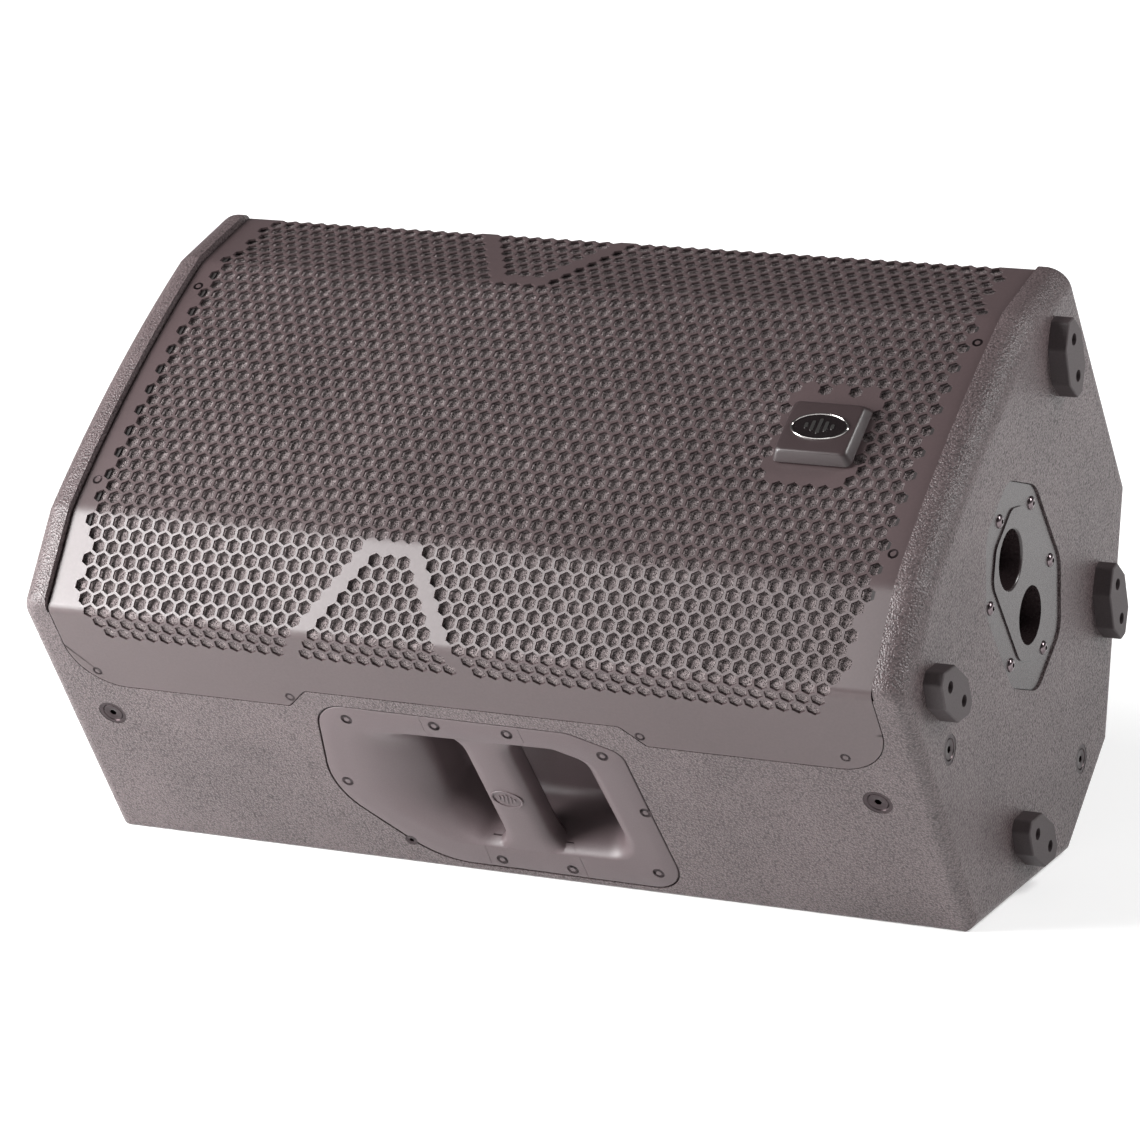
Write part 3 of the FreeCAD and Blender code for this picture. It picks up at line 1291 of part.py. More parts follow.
def amp_board():
    """The amplifier's circuit board on four posts, with its larger components."""
    depth = 40
    board = Part.makeBox(250, 50, 1.6, Vector(-125, -25, -depth))
    holes = [Part.makeCylinder(1.7, 8, Vector(x, y, -depth - 3)) for x, y in POST_SPOTS]
    node_feature("amp_circuit_board", board.cut(Part.makeCompound(holes)), amp_frame())
    post = turned_shape([(0, 1), (1.5, 1), (1.5, -0.2), (3, -0.2), (3, -depth + 1.8), (1.5, -depth + 1.8),
                         (1.5, -depth - 2), (0, -depth - 2)])
    node_feature("board_posts", placed(post, [amp_frame(x, y, 0) for x, y in POST_SPOTS]))
    top = -depth + 1.8
    cans = [turned_shape([(0, top), (11, top), (11, top + 24), (10, top + 25), (0, top + 25)]).translated(
        Vector(x, y, 0)) for x in (-54, -28) for y in (-12, 12)]
    core = Part.makeBox(34, 44, 22, Vector(-10, -22, top))
    core = core.makeChamfer(3, [e for e in core.Edges if abs(e.CenterOfMass.z - top - 22) < 0.01])
    node_feature("board_components", Part.makeCompound(cans + [core]), amp_frame())


def sockets():
    """Two signal inputs with a release tab each, one link output, and the mains inlet."""
    low = size("amp_sheet") + 0.1
    bore = size("socket_bore")
    for number, (x, y) in enumerate(COMBO_SPOTS, start=1):
        node_feature("input_socket_%d" % number, round_socket(bore, True), amp_frame(x, y, low))
        tab = Part.makeBox(6, 4, 6.2, Vector(-3, 10.6, -3))
        tab = tab.makeFillet(0.8, [e for e in tab.Edges if e.CenterOfMass.z > 3.1])
        node_feature("release_tab_%d" % number, tab, amp_frame(x, y, low))
    node_feature("link_socket", round_socket(bore, False), amp_frame(*LINK_SPOT, low))
    shell = box_at((0, 0), 27.8, 23.8, -24, 0).fuse(box_at((0, 0), 36, 29, 0, 2.2))
    shell = shell.cut(box_at((0, 0), 22, 16, -18, 5))
    blades = [box_at((x, y), 2, 4, -18, -5) for x, y in ((-6, -3), (6, -3), (0, 4))]
    node_feature("mains_inlet", shell.multiFuse(blades), amp_frame(*INLET_SPOT, low))


def round_socket(bore, has_tab):
    """A round connector with a square flange and a plug well."""
    flange = prism([(a * 13, b * 15.5, 3) for a, b in SQUARE], 0, 2)
    shape = flange.fuse(Part.makeCylinder(11.9, 24, Vector(0, 0, -24)))
    shape = shape.cut(Part.makeCylinder(bore, 20, Vector(0, 0, -17)))
    if has_tab:
        shape = shape.cut(Part.makeBox(6.8, 4.8, 12, Vector(-3.4, 10.2, -8)))
    else:
        pins = [Part.makeCylinder(1.2, 12, Vector(4 * math.cos(a), 4 * math.sin(a), -17.5))
                for a in (math.radians(d) for d in (-90, 30, 150))]
        shape = shape.multiFuse(pins)
    return largest(shape)


def controls():
    """Level knobs on their potentiometers, a push button, a mains rocker and a signal lens."""
    low = size("amp_sheet")
    radius = size("knob_radius")
    height = size("knob_height")
    for number, (x, y) in enumerate(KNOB_SPOTS, start=1):
        skirt = turned_shape([(0, 0.5), (radius, 0.5), (radius, 2.5), (radius - 1, 3.5),
                              (radius - 1.6, height - 1), (radius - 2.6, height), (0, height)])
        shaft = Part.makeCylinder(3, 12, Vector(0, 0, -10))
        pointer = Part.makeBox(0.9, radius - 1, 1.2, Vector(-0.45, -radius + 1.8, height - 0.7))
        knob = skirt.fuse(shaft).cut(pointer)
        node_feature("level_knob_%d" % number, knob, amp_frame(x, y, low))
    pot = turned_shape([(3.5, -4.8), (7.5, -4.8), (7.5, -14), (0, -14), (0, -13), (3.5, -13)])
    button = turned_shape([(0, 4.2), (2.7, 4.2), (3.5, 3.4), (3.5, -5), (0, -5)])
    node_feature("filter_button", button, amp_frame(*BUTTON_SPOT, low))
    switch_box = Part.makeBox(10, 10, 8, Vector(-5, -5, -18))
    bodies = placed(pot, [amp_frame(x, y, low) for x, y in KNOB_SPOTS]).Solids
    bodies += placed(switch_box, [amp_frame(*BUTTON_SPOT, low)]).Solids
    node_feature("control_bodies", Part.makeCompound(bodies))
    lens = turned_shape([(0, 2.2), (1.6, 1.8), (2.5, 0.6), (2.5, -6), (0, -6)])
    node_feature("signal_lens", lens, amp_frame(*LENS_SPOT, low))
    frame = box_at((0, 0), 13, 19, -16, 0).fuse(box_at((0, 0), 17, 23, 0, 1.8)).cut(
        box_at((0, 0), 10, 15.4, -11, 4))
    node_feature("rocker_frame", frame, amp_frame(*ROCKER_SPOT, low + 0.1))
    node_feature("mains_rocker", rocker_shape(), amp_frame(*ROCKER_SPOT, low + 0.1))


def rocker_shape():
    """A rocker resting with one half pressed in, on an axis along x at z = -3."""
    angle = size("rocker_angle") / 2
    wing = [Vector(0, 0, -7), Vector(0, -6.6, -3), Vector(0, -7, 2.2), Vector(0, 0, 1.0), Vector(0, 7, 2.2),
            Vector(0, 6.6, -3), Vector(0, 0, -7)]
    paddle = Part.Face(Part.makePolygon(wing)).extrude(Vector(9.2, 0, 0))
    paddle.translate(Vector(-4.6, 0, 0))
    paddle.rotate(Vector(0, 0, -3), Vector(1, 0, 0), -angle)
    return paddle


# ---------------------------------------------------------------- build and write

def build():
    """Make every sub-part."""
    side_boards()
    end_boards()
    front_baffle()
    brace_and_battens()
    grille()
    foam()
    badge()
    grille_screws()
    handle()
    pole_plate()
    feet()
    rigging()
    woofer()
    horn()
    driver_screws()
    ports()
    lining()
    amp_plate()
    heat_sink()
    amp_board()
    sockets()
    controls()
    DOC.recompute()


def check():
    """Stop on any object that failed, and on any sub-part that is empty or invalid."""
    for thing in DOC.Objects:
        if "Invalid" in thing.State or "Error" in thing.State:
            raise RuntimeError("%s failed: %s" % (thing.Label, thing.State))
    for node in NODES:
        if node.Shape.isNull() or not node.Shape.isValid():
            raise RuntimeError("%s has no valid shape" % node.Label)


def write():
    """Write each sub-part to its own file."""
    os.makedirs("parts", exist_ok=True)
    for node in NODES:
        node.Shape.exportStep("parts/%s.step" % node.Label)
    box = Part.makeCompound([n.Shape for n in NODES]).BoundBox
    print("%d sub-parts, box %s" % (len(NODES), box))


build()
check()
write()
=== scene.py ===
"""Looks of a stage monitor wedge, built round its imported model.

The cabinet lies along X on its floor face. The perforated grille is a bowed, folded sheet over the
front, the carrying handle is let into the board under it, and the end at +X carries the pole sockets
and the feet. Metres, +Z up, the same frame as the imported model.
"""
import json
import logging
import math
from dataclasses import dataclass, field
from enum import Enum
from typing import Callable, Optional, Sequence

import bmesh
import bpy
from mathutils import Matrix, Vector

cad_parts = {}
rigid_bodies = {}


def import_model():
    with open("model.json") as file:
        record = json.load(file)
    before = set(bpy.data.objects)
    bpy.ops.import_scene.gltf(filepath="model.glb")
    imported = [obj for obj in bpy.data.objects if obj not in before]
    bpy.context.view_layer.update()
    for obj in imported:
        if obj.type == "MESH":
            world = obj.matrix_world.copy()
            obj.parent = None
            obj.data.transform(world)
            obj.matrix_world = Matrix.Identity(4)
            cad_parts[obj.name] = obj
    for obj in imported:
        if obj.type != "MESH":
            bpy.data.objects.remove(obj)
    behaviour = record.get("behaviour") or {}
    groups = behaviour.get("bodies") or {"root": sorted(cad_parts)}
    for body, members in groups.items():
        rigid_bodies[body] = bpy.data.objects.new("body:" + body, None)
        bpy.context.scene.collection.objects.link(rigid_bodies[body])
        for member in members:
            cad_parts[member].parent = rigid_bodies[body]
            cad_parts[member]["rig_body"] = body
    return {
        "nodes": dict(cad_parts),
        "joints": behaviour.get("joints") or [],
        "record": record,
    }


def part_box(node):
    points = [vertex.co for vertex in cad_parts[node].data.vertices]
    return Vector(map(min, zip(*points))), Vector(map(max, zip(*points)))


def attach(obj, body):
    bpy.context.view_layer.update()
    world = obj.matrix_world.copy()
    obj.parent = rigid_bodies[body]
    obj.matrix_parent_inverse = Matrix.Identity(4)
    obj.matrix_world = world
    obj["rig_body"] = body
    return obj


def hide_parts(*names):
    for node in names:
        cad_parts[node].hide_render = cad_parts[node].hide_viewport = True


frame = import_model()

LOG = logging.getLogger("wedge")
MM = 0.001
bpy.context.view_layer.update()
Point = tuple[float, float]


# ---------------------------------------------------------------- section and frames

@dataclass(frozen=True)
class Section:
    """The cross-section that every board, the grille and the end boards follow, in metres."""

    fold_low: Point = (-0.1831, 0.1755)
    fold_high: Point = (0.0908, 0.3719)
    floor_front: Point = (-0.081, 0.0)
    floor_rear: Point = (0.081, 0.0)
    rear_high: Point = (0.150, 0.054)
    back: Point = (0.1853, 0.214)
    kink_u: float = 0.10625
    kink_w: float = 0.0229
    crown_rise: float = 0.00585

    @property
    def shift(self) -> float:
        """The cabinet's middle along X: the feet stand out on one side only."""
        low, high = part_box("floor_board")
        return (low.x + high.x) / 2

    @property
    def tilt(self) -> float:
        """The front's lean from level, in radians."""
        return math.atan2(self.fold_high[1] - self.fold_low[1], self.fold_high[0] - self.fold_low[0])

    @property
    def half_front(self) -> float:
        """Half the straight distance between the two folds."""
        return math.dist(self.fold_low, self.fold_high) / 2

    @property
    def crown_radius(self) -> float:
        """Radius of the bowed middle of the front."""
        return (self.kink_u ** 2 + self.crown_rise ** 2) / (2 * self.crown_rise)

    def front(self) -> Matrix:
        """x along the cabinet, y up the front, z straight out of the plane through both folds."""
        middle = [(a + b) / 2 for a, b in zip(self.fold_low, self.fold_high)]
        return Matrix.Translation((self.shift, *middle)) @ Matrix.Rotation(self.tilt, 4, "X")

    def to_front(self, point: Point) -> Point:
        """A section point (y, z) in the front frame's own (u, w)."""
        local = self.front().inverted() @ Vector((self.shift, *point))
        return (local.y, local.z)

    def handle(self) -> Matrix:
        """x along the cabinet, y down the handle board from the fold, z into the cabinet."""
        run = Vector((0, *self.floor_front)) - Vector((0, *self.fold_low))
        lean = math.atan2(run.z, run.y)
        return Matrix.Translation((self.shift, *self.fold_low)) @ Matrix.Rotation(lean, 4, "X")

    def board(self, start: Point, end: Point) -> Matrix:
        """x along the cabinet, y along a board's outer face from start to end, z into the cabinet."""
        lean = math.atan2(end[1] - start[1], end[0] - start[0])
        return Matrix.Translation((self.shift, *start)) @ Matrix.Rotation(lean, 4, "X")


SECTION = Section()


# ---------------------------------------------------------------- colours and shader nodes

def linear(colour: str) -> tuple[float, float, float, float]:
    """Turn an sRGB hex value into the linear values that shaders take.

    Args:
        colour: six hex digits, such as "5a4e4f".

    Returns:
        Red, green, blue and an alpha of one.
    """
    parts = [int(colour[i:i + 2], 16) / 255 for i in (0, 2, 4)]
    lin = [c / 12.92 if c <= 0.04045 else ((c + 0.055) / 1.055) ** 2.4 for c in parts]
    return (lin[0], lin[1], lin[2], 1.0)


def add_node(tree: bpy.types.NodeTree, kind: str, links: Optional[dict] = None, **settings) -> bpy.types.Node:
    """Add one node with its settings and its inputs.

    Args:
        tree: the node tree that takes the node.
        kind: Blender's identifier of the node.
        links: for each input, by name or number, a socket to link or a value to set.
        settings: attributes of the node itself.

    Returns:
        The new node.
    """
    node = tree.nodes.new(kind)
    for name, value in settings.items():
        setattr(node, name, value)
    for key, value in (links or {}).items():
        socket = node.inputs[key]
        if isinstance(value, bpy.types.NodeSocket):
            tree.links.new(value, socket)
        else:
            socket.default_value = value
    return node


class Grain(Enum):
    """The kinds of surface relief that a finish can have."""

    PEBBLED = "pebbled"
    ORANGE_PEEL = "orange peel"
    CELLS = "open cells"
    BRUSHED = "brushed"
    PLIES = "plies"


@dataclass(frozen=True)
class Finish:
    """One finish: how it was made decides its relief, and its sizes are real ones in millimetres."""

    name: str
    slot: str
    colour: str
    # shade: the colour put in the relief's hollows; painted shade on paint, foam, rubber and mouldings, the
    # grain's darker tone on plywood and brushed metal
    shade: str
    roughness: float
    grain: Grain = Grain.ORANGE_PEEL
    grain_mm: float = 1.0
    relief_mm: float = 0.05
    swing: float = 0.08
    metallic: float = 0.0
    coat: float = 0.0
    coat_roughness: float = 0.3
    ior: float = 1.5
    transmission: float = 0.0

    def material(self) -> bpy.types.Material:
        """The finish as a material, made once."""
        known = bpy.data.materials.get(self.name)
        return known if known else self._build()

    def _build(self) -> bpy.types.Material:
        """Make the material's nodes."""
        made = bpy.data.materials.new(self.name)
        made.use_nodes = True
        tree = made.node_tree
        shader = tree.nodes["Principled BSDF"]
        place = add_node(tree, "ShaderNodeTexCoord").outputs["Object"]
        height = self._height(tree, place)
        cloud = add_node(tree, "ShaderNodeTexNoise", {"Vector": place, "Scale": 14.0, "Detail": 3.0})
        colour = self._colour(tree, height, cloud.outputs["Fac"])
        rough = add_node(tree, "ShaderNodeMapRange", {
            "Value": height, "To Min": self.roughness + self.swing, "To Max": self.roughness - self.swing})
        bump = add_node(tree, "ShaderNodeBump", {"Height": height, "Distance": self.relief_mm * MM,
                                                 "Strength": 1.0})
        tree.links.new(colour, shader.inputs["Base Color"])
        tree.links.new(rough.outputs["Result"], shader.inputs["Roughness"])
        tree.links.new(bump.outputs["Normal"], shader.inputs["Normal"])
        shader.inputs["Metallic"].default_value = self.metallic
        shader.inputs["Coat Weight"].default_value = self.coat
        shader.inputs["Coat Roughness"].default_value = self.coat_roughness
        shader.inputs["Transmission Weight"].default_value = self.transmission
        if not self.metallic:
            shader.inputs["IOR"].default_value = self.ior
        return made

    def _height(self, tree: bpy.types.NodeTree, place: bpy.types.NodeSocket) -> bpy.types.NodeSocket:
        """The relief, from 0 in the hollows to 1 on the tops."""
        scale = 1 / (self.grain_mm * MM)
        if self.grain is Grain.PEBBLED:
            drops = add_node(tree, "ShaderNodeTexVoronoi", {"Vector": place, "Scale": scale,
                                                            "Smoothness": 0.6}, feature="SMOOTH_F1")
            speck = add_node(tree, "ShaderNodeTexNoise", {"Vector": place, "Scale": scale * 0.9,
                                                          "Detail": 2.0, "Roughness": 0.6})
            mixed = add_node(tree, "ShaderNodeMath", {0: drops.outputs["Distance"],
                                                      1: speck.outputs["Fac"]}, operation="SUBTRACT")
            return add_node(tree, "ShaderNodeMapRange", {"Value": mixed.outputs[0], "From Min": 0.45,
                                                         "From Max": -0.45}).outputs["Result"]
        if self.grain is Grain.CELLS:
            cells = add_node(tree, "ShaderNodeTexVoronoi", {"Vector": place, "Scale": scale},
                             feature="DISTANCE_TO_EDGE")
            return add_node(tree, "ShaderNodeMapRange", {"Value": cells.outputs["Distance"], "From Min": 0.02,
                                                         "From Max": 0.32, "To Min": 1.0,
                                                         "To Max": 0.0}).outputs["Result"]
        if self.grain is Grain.BRUSHED:
            along = add_node(tree, "ShaderNodeMapping", {"Vector": place, "Scale": (0.06, 1.0, 1.0)})
            return add_node(tree, "ShaderNodeTexNoise", {"Vector": along.outputs["Vector"], "Scale": scale,
                                                         "Detail": 3.0}).outputs["Fac"]
        if self.grain is Grain.PLIES:
            fibre = add_node(tree, "ShaderNodeMapping", {"Vector": place, "Scale": (0.08, 1.0, 1.0)})
            return add_node(tree, "ShaderNodeTexNoise", {"Vector": fibre.outputs["Vector"], "Scale": scale,
                                                         "Detail": 5.0, "Distortion": 0.4}).outputs["Fac"]
        return add_node(tree, "ShaderNodeTexNoise", {"Vector": place, "Scale": scale, "Detail": 4.0,
                                                     "Roughness": 0.55}).outputs["Fac"]

    def _colour(self, tree: bpy.types.NodeTree, height: bpy.types.NodeSocket,
                cloud: bpy.types.NodeSocket) -> bpy.types.NodeSocket:
        """Painted shade: the shade colour in the hollows of the relief and the full colour on the tops; on plywood
        and brushed metal the same mix gives the grain's own tone. A slow random drift over the piece.
        """
        drift = add_node(tree, "ShaderNodeMapRange", {"Value": cloud, "From Min": 0.3, "From Max": 0.7,
                                                      "To Min": -0.12, "To Max": 0.12})
        share = add_node(tree, "ShaderNodeMath", {0: height, 1: drift.outputs["Result"]}, operation="ADD",
                         use_clamp=True)
        mix = add_node(tree, "ShaderNodeMix", {"Factor": share.outputs[0]}, data_type="RGBA")
        mix.inputs[6].default_value = linear(self.shade)
        mix.inputs[7].default_value = linear(self.colour)
        return mix.outputs[2]


class Finishes:
    """Every finish of the wedge."""

    # Two-part polyurea sprayed on plywood: it dries in small hard pebbles that glint. The dark colour between the
    # pebbles is painted shade.
    cabinet = Finish("polyurea_texture_paint", "textured_paint", "5e5253", "2a2122", 0.42, Grain.PEBBLED,
                     1.25, 0.42, 0.14)
    # Baked powder on folded steel: satin, with a very slight orange peel.
    grille = Finish("satin_powder_coat", "grille_paint", "493d3e", "3e3334", 0.37, Grain.ORANGE_PEEL,
                    1.6, 0.012, 0.05)
    # Reticulated polyurethane foam: open cells, drawn a little coarse so that they still show. Their dark middles
    # are painted shade in the open cells.
    foam = Finish("reticulated_foam", "acoustic_foam", "857a7a", "2e2526", 0.85, Grain.CELLS, 1.25, 0.5, 0.05)
    felt = Finish("needled_felt", "acoustic_foam", "3a3434", "1d1919", 0.95, Grain.ORANGE_PEEL, 0.8, 0.4,
                  0.03)
    # Injection moulded ABS with a fine spark-eroded skin: soft, even gloss.
    moulding = Finish("spark_eroded_abs", "moulded_plastic", "54484a", "463b3d", 0.46, Grain.ORANGE_PEEL,
                      0.7, 0.02, 0.05)
    # The badge is a slightly glossier moulding than the handle; its darker colour is painted shade, standing for
    # the shade that side light leaves on the tile.
    badge = Finish("satin_abs_with_painted_shade", "moulded_plastic", "352b2c", "2a2122", 0.36, Grain.ORANGE_PEEL, 0.8, 0.015,
                   0.05)
    # Moulded rubber: matt, with painted shade in the hollows of its relief, which leaves the tops lighter.
    rubber = Finish("moulded_rubber", "foot_rubber", "3c3335", "2a2223", 0.58, Grain.ORANGE_PEEL, 1.2, 0.03)
    roll = Finish("butyl_roll", "roll_rubber", "1f1c1c", "151313", 0.5, Grain.ORANGE_PEEL, 1.0, 0.02)
    # Die-cast zinc under gloss enamel: smooth, with a clear hard shine.
    casting = Finish("enamelled_casting", "cast_alloy", "2e2526", "241d1e", 0.27, Grain.ORANGE_PEEL,
                     2.4, 0.02, 0.05)
    # Steel blackened in zinc: dark metal that still mirrors at an edge.
    black_screw = Finish("black_zinc", "black_screw", "4b4244", "2f2829", 0.34, Grain.BRUSHED, 0.6, 0.01,
                         0.06, metallic=1.0)
    plated_screw = Finish("dark_nickel", "plated_screw", "82777a", "5a5053", 0.2, Grain.BRUSHED, 0.6, 0.008,
                          0.05, metallic=1.0)
    # Chrome on moulded trim: bright and mirror smooth.
    chrome = Finish("trim_chrome", "polished_inlay", "d8d4d2", "c4bfbd", 0.1, Grain.ORANGE_PEEL, 3.0, 0.004,
                    0.03, metallic=1.0)
    enamel = Finish("inlay_enamel", "polished_inlay", "181314", "120e0f", 0.18, Grain.ORANGE_PEEL, 3.0, 0.004,
                    0.03)
    # Birch plywood, rotary cut: fine fibre along the sheet.
    black_ply = Finish("blackened_plywood", "bare_plywood", "2c2727", "1d1919", 0.7, Grain.PLIES, 1.6, 0.05)
    plywood = Finish("birch_plywood", "bare_plywood", "b98f5f", "8e6a42", 0.6, Grain.PLIES, 1.6, 0.05)
    panel = Finish("brushed_black_panel", "panel_paint", "2b2626", "1e1a1a", 0.38, Grain.BRUSHED, 0.5, 0.01)
    fins = Finish("black_anodising", "black_anodised", "242021", "191616", 0.4, Grain.BRUSHED, 0.5, 0.01,
                  metallic=0.6)
    gloss = Finish("gloss_polyamide", "gloss_plastic", "1d1a1b", "151213", 0.24, Grain.ORANGE_PEEL, 2.0, 0.01)
    laminate = Finish("solder_mask", "circuit_laminate", "1f5a33", "174526", 0.3, Grain.ORANGE_PEEL, 2.0, 0.01)
    parts = Finish("component_sleeve", "component_plastic", "26262b", "1a1a1e", 0.3, Grain.ORANGE_PEEL,
                   2.0, 0.01)
    lens = Finish("light_pipe", "green_lens", "7fd08a", "66b873", 0.12, Grain.ORANGE_PEEL, 3.0, 0.004,
                  0.03, transmission=0.6)
    cone = Finish("coated_paper", "paper_cone", "2a2626", "1c1919", 0.7, Grain.ORANGE_PEEL, 0.9, 0.08)
    bare_alloy = Finish("turned_aluminium", "coil_alloy", "b8b4ae", "a39f99", 0.3, Grain.BRUSHED, 0.5, 0.01,
                        metallic=1.0)
    magnet_steel = Finish("zinc_plated_steel", "magnet_steel", "93949a", "7d7e84", 0.32, Grain.BRUSHED,
                          0.7, 0.01, metallic=1.0)
    ferrite = Finish("sintered_ferrite", "ferrite", "2a2a2d", "1f1f22", 0.6, Grain.ORANGE_PEEL, 1.0, 0.05)
    print_white = Finish("screen_print", "panel_paint", "cfcaca", "bdb8b8", 0.5, Grain.ORANGE_PEEL, 1.0, 0.004)


# ---------------------------------------------------------------- meshes

def piece(name: str, mesh: bpy.types.Mesh, finish: Finish, body: str, replaces: Sequence[str] = (),
          smooth_angle: float = 35.0) -> bpy.types.Object:
    """Put a finished mesh in the scene as a piece that rides on a body.

    Args:
        name: the piece's own name.
        mesh: its mesh, already in place.
        finish: what it is dressed with.
        body: the CAD body that it moves with.
        replaces: the CAD nodes that it stands for.
        smooth_angle: edges sharper than this stay crisp, in degrees.

    Returns:
        The new object.
    """
    mesh.name = name
    mesh.materials.clear()
    mesh.materials.append(finish.material())
    made = bpy.data.objects.new(name, mesh)
    bpy.context.scene.collection.objects.link(made)
    mesh.shade_smooth()
    mesh.set_sharp_from_angle(angle=math.radians(smooth_angle))
    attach(made, body)
    if replaces:
        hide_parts(*replaces)
    LOG.info("%s: %d faces on %s", name, len(mesh.polygons), body)
    return made


def mesh_from(build: bmesh.types.BMesh, name: str, place: Optional[Matrix] = None) -> bpy.types.Mesh:
    """Turn a bmesh into a mesh, moved into the object's own frame, and free the bmesh."""
    if place is not None:
        build.transform(place)
    made = bpy.data.meshes.new(name)
    build.to_mesh(made)
    build.free()
    return made


def evaluated_mesh(source: bpy.types.Object) -> bpy.types.Mesh:
    """The result of an object's modifiers as a plain mesh; the object is then removed."""
    bpy.context.view_layer.update()
    graph = bpy.context.evaluated_depsgraph_get()
    made = bpy.data.meshes.new_from_object(source.evaluated_get(graph))
    spent = source.data
    bpy.data.objects.remove(source)
    if isinstance(spent, bpy.types.Mesh) and spent.users == 0:
        bpy.data.meshes.remove(spent)
    return made


def scratch(mesh: bpy.types.Mesh) -> bpy.types.Object:
    """A helper object that holds a mesh while modifiers work on it."""
    holder = bpy.data.objects.new("scratch", mesh)
    bpy.context.scene.collection.objects.link(holder)
    return holder


def combined(first: bpy.types.Mesh, second: bpy.types.Mesh, how: str) -> bpy.types.Mesh:
    """A boolean of two closed meshes: how is UNION, DIFFERENCE or INTERSECT."""
    base = scratch(first)
    tool = scratch(second.copy())
    cut = base.modifiers.new("cut", "BOOLEAN")
    cut.operation = how
    cut.object = tool
    cut.solver = "MANIFOLD"
    made = evaluated_mesh(base)
    bpy.data.objects.remove(tool)
    return made


def rounded_outline(corners: Sequence[tuple[float, float, float]], steps: int = 8) -> list[Vector]:
    """Points along a closed outline whose corners are arcs.

    Args:
        corners: x, y and corner radius, in order round the outline.
        steps: how many pieces each arc is drawn with.

    Returns:
        The points as plane vectors.
    """
    points = []
    for i, (x, y, radius) in enumerate(corners):
        corner = Vector((x, y))
        before = (Vector(corners[i - 1][:2]) - corner).normalized()
        after = (Vector(corners[(i + 1) % len(corners)][:2]) - corner).normalized()
        half = before.angle(after) / 2
        run = radius / math.tan(half)
        centre = corner + (before + after).normalized() * (radius / math.sin(half))
        start = corner + before * run - centre
        end = corner + after * run - centre
        if radius <= 0:
            points.append(corner)
            continue
        sweep = start.angle_signed(end)
        for k in range(steps + 1):
            turn = Matrix.Rotation(-sweep * k / steps, 2)
            points.append(centre + turn @ start)
    return points


def ray_outline(outline: Sequence[Vector], centre: Vector, count: int) -> list[Vector]:
    """An outline seen from a centre: its point in each of count evenly spaced directions."""
    hits = []
    for k in range(count):
        angle = 2 * math.pi * k / count
        ray = Vector((math.cos(angle), math.sin(angle)))
        side = Vector((-ray.y, ray.x))
        best = 0.0
        for a, b in zip(outline, list(outline[1:]) + [outline[0]]):
            da, db = (a - centre).dot(side), (b - centre).dot(side)
            if (da > 0) == (db > 0):
                continue
            along = (a + (b - a) * (da / (da - db)) - centre).dot(ray)
            best = max(best, along)
        hits.append(centre + ray * best)
    return hits


def skin_rings(build: bmesh.types.BMesh, rings: Sequence[Sequence[Vector]], close_last: bool) -> None:
    """Join rings of equal length with quads, and close the last one with a fan."""
    loops = [[build.verts.new(p) for p in ring] for ring in rings]
    for first, second in zip(loops, loops[1:]):
        count = len(first)
        for i in range(count):
            j = (i + 1) % count
            build.faces.new((first[i], first[j], second[j], second[i]))
    if close_last:
        middle = build.verts.new(sum((v.co for v in loops[-1]), Vector()) / len(loops[-1]))
        for i, vert in enumerate(loops[-1]):
            build.faces.new((vert, loops[-1][(i + 1) % len(loops[-1])], middle))


def turned(build: bmesh.types.BMesh, profile: Sequence[Point], steps: int, squash: float = 1.0) -> None:
    """Turn a profile of (radius, height) points about z; a radius of zero closes the end."""
    rings = [[Vector((r * math.cos(2 * math.pi * k / steps),
                      squash * r * math.sin(2 * math.pi * k / steps), z))
              for k in range(steps)] for r, z in profile]
    skin_rings(build, rings, False)
    bmesh.ops.remove_doubles(build, verts=build.verts, dist=1e-7)
    holes = [e for e in build.edges if e.is_boundary]
    if holes:
        bmesh.ops.holes_fill(build, edges=holes, sides=0)
    bmesh.ops.recalc_face_normals(build, faces=build.faces)


def prism(outline: Sequence[Vector], low: float, high: float) -> bmesh.types.BMesh:
    """A closed prism between two heights."""
    build = bmesh.new()
    base = build.faces.new([build.verts.new((p.x, p.y, low)) for p in outline])
    grown = bmesh.ops.extrude_face_region(build, geom=[base])
    moved = [g for g in grown["geom"] if isinstance(g, bmesh.types.BMVert)]
    bmesh.ops.translate(build, verts=moved, vec=(0, 0, high - low))
    bmesh.ops.recalc_face_normals(build, faces=build.faces)
    return build


# ---------------------------------------------------------------- Geometry Nodes

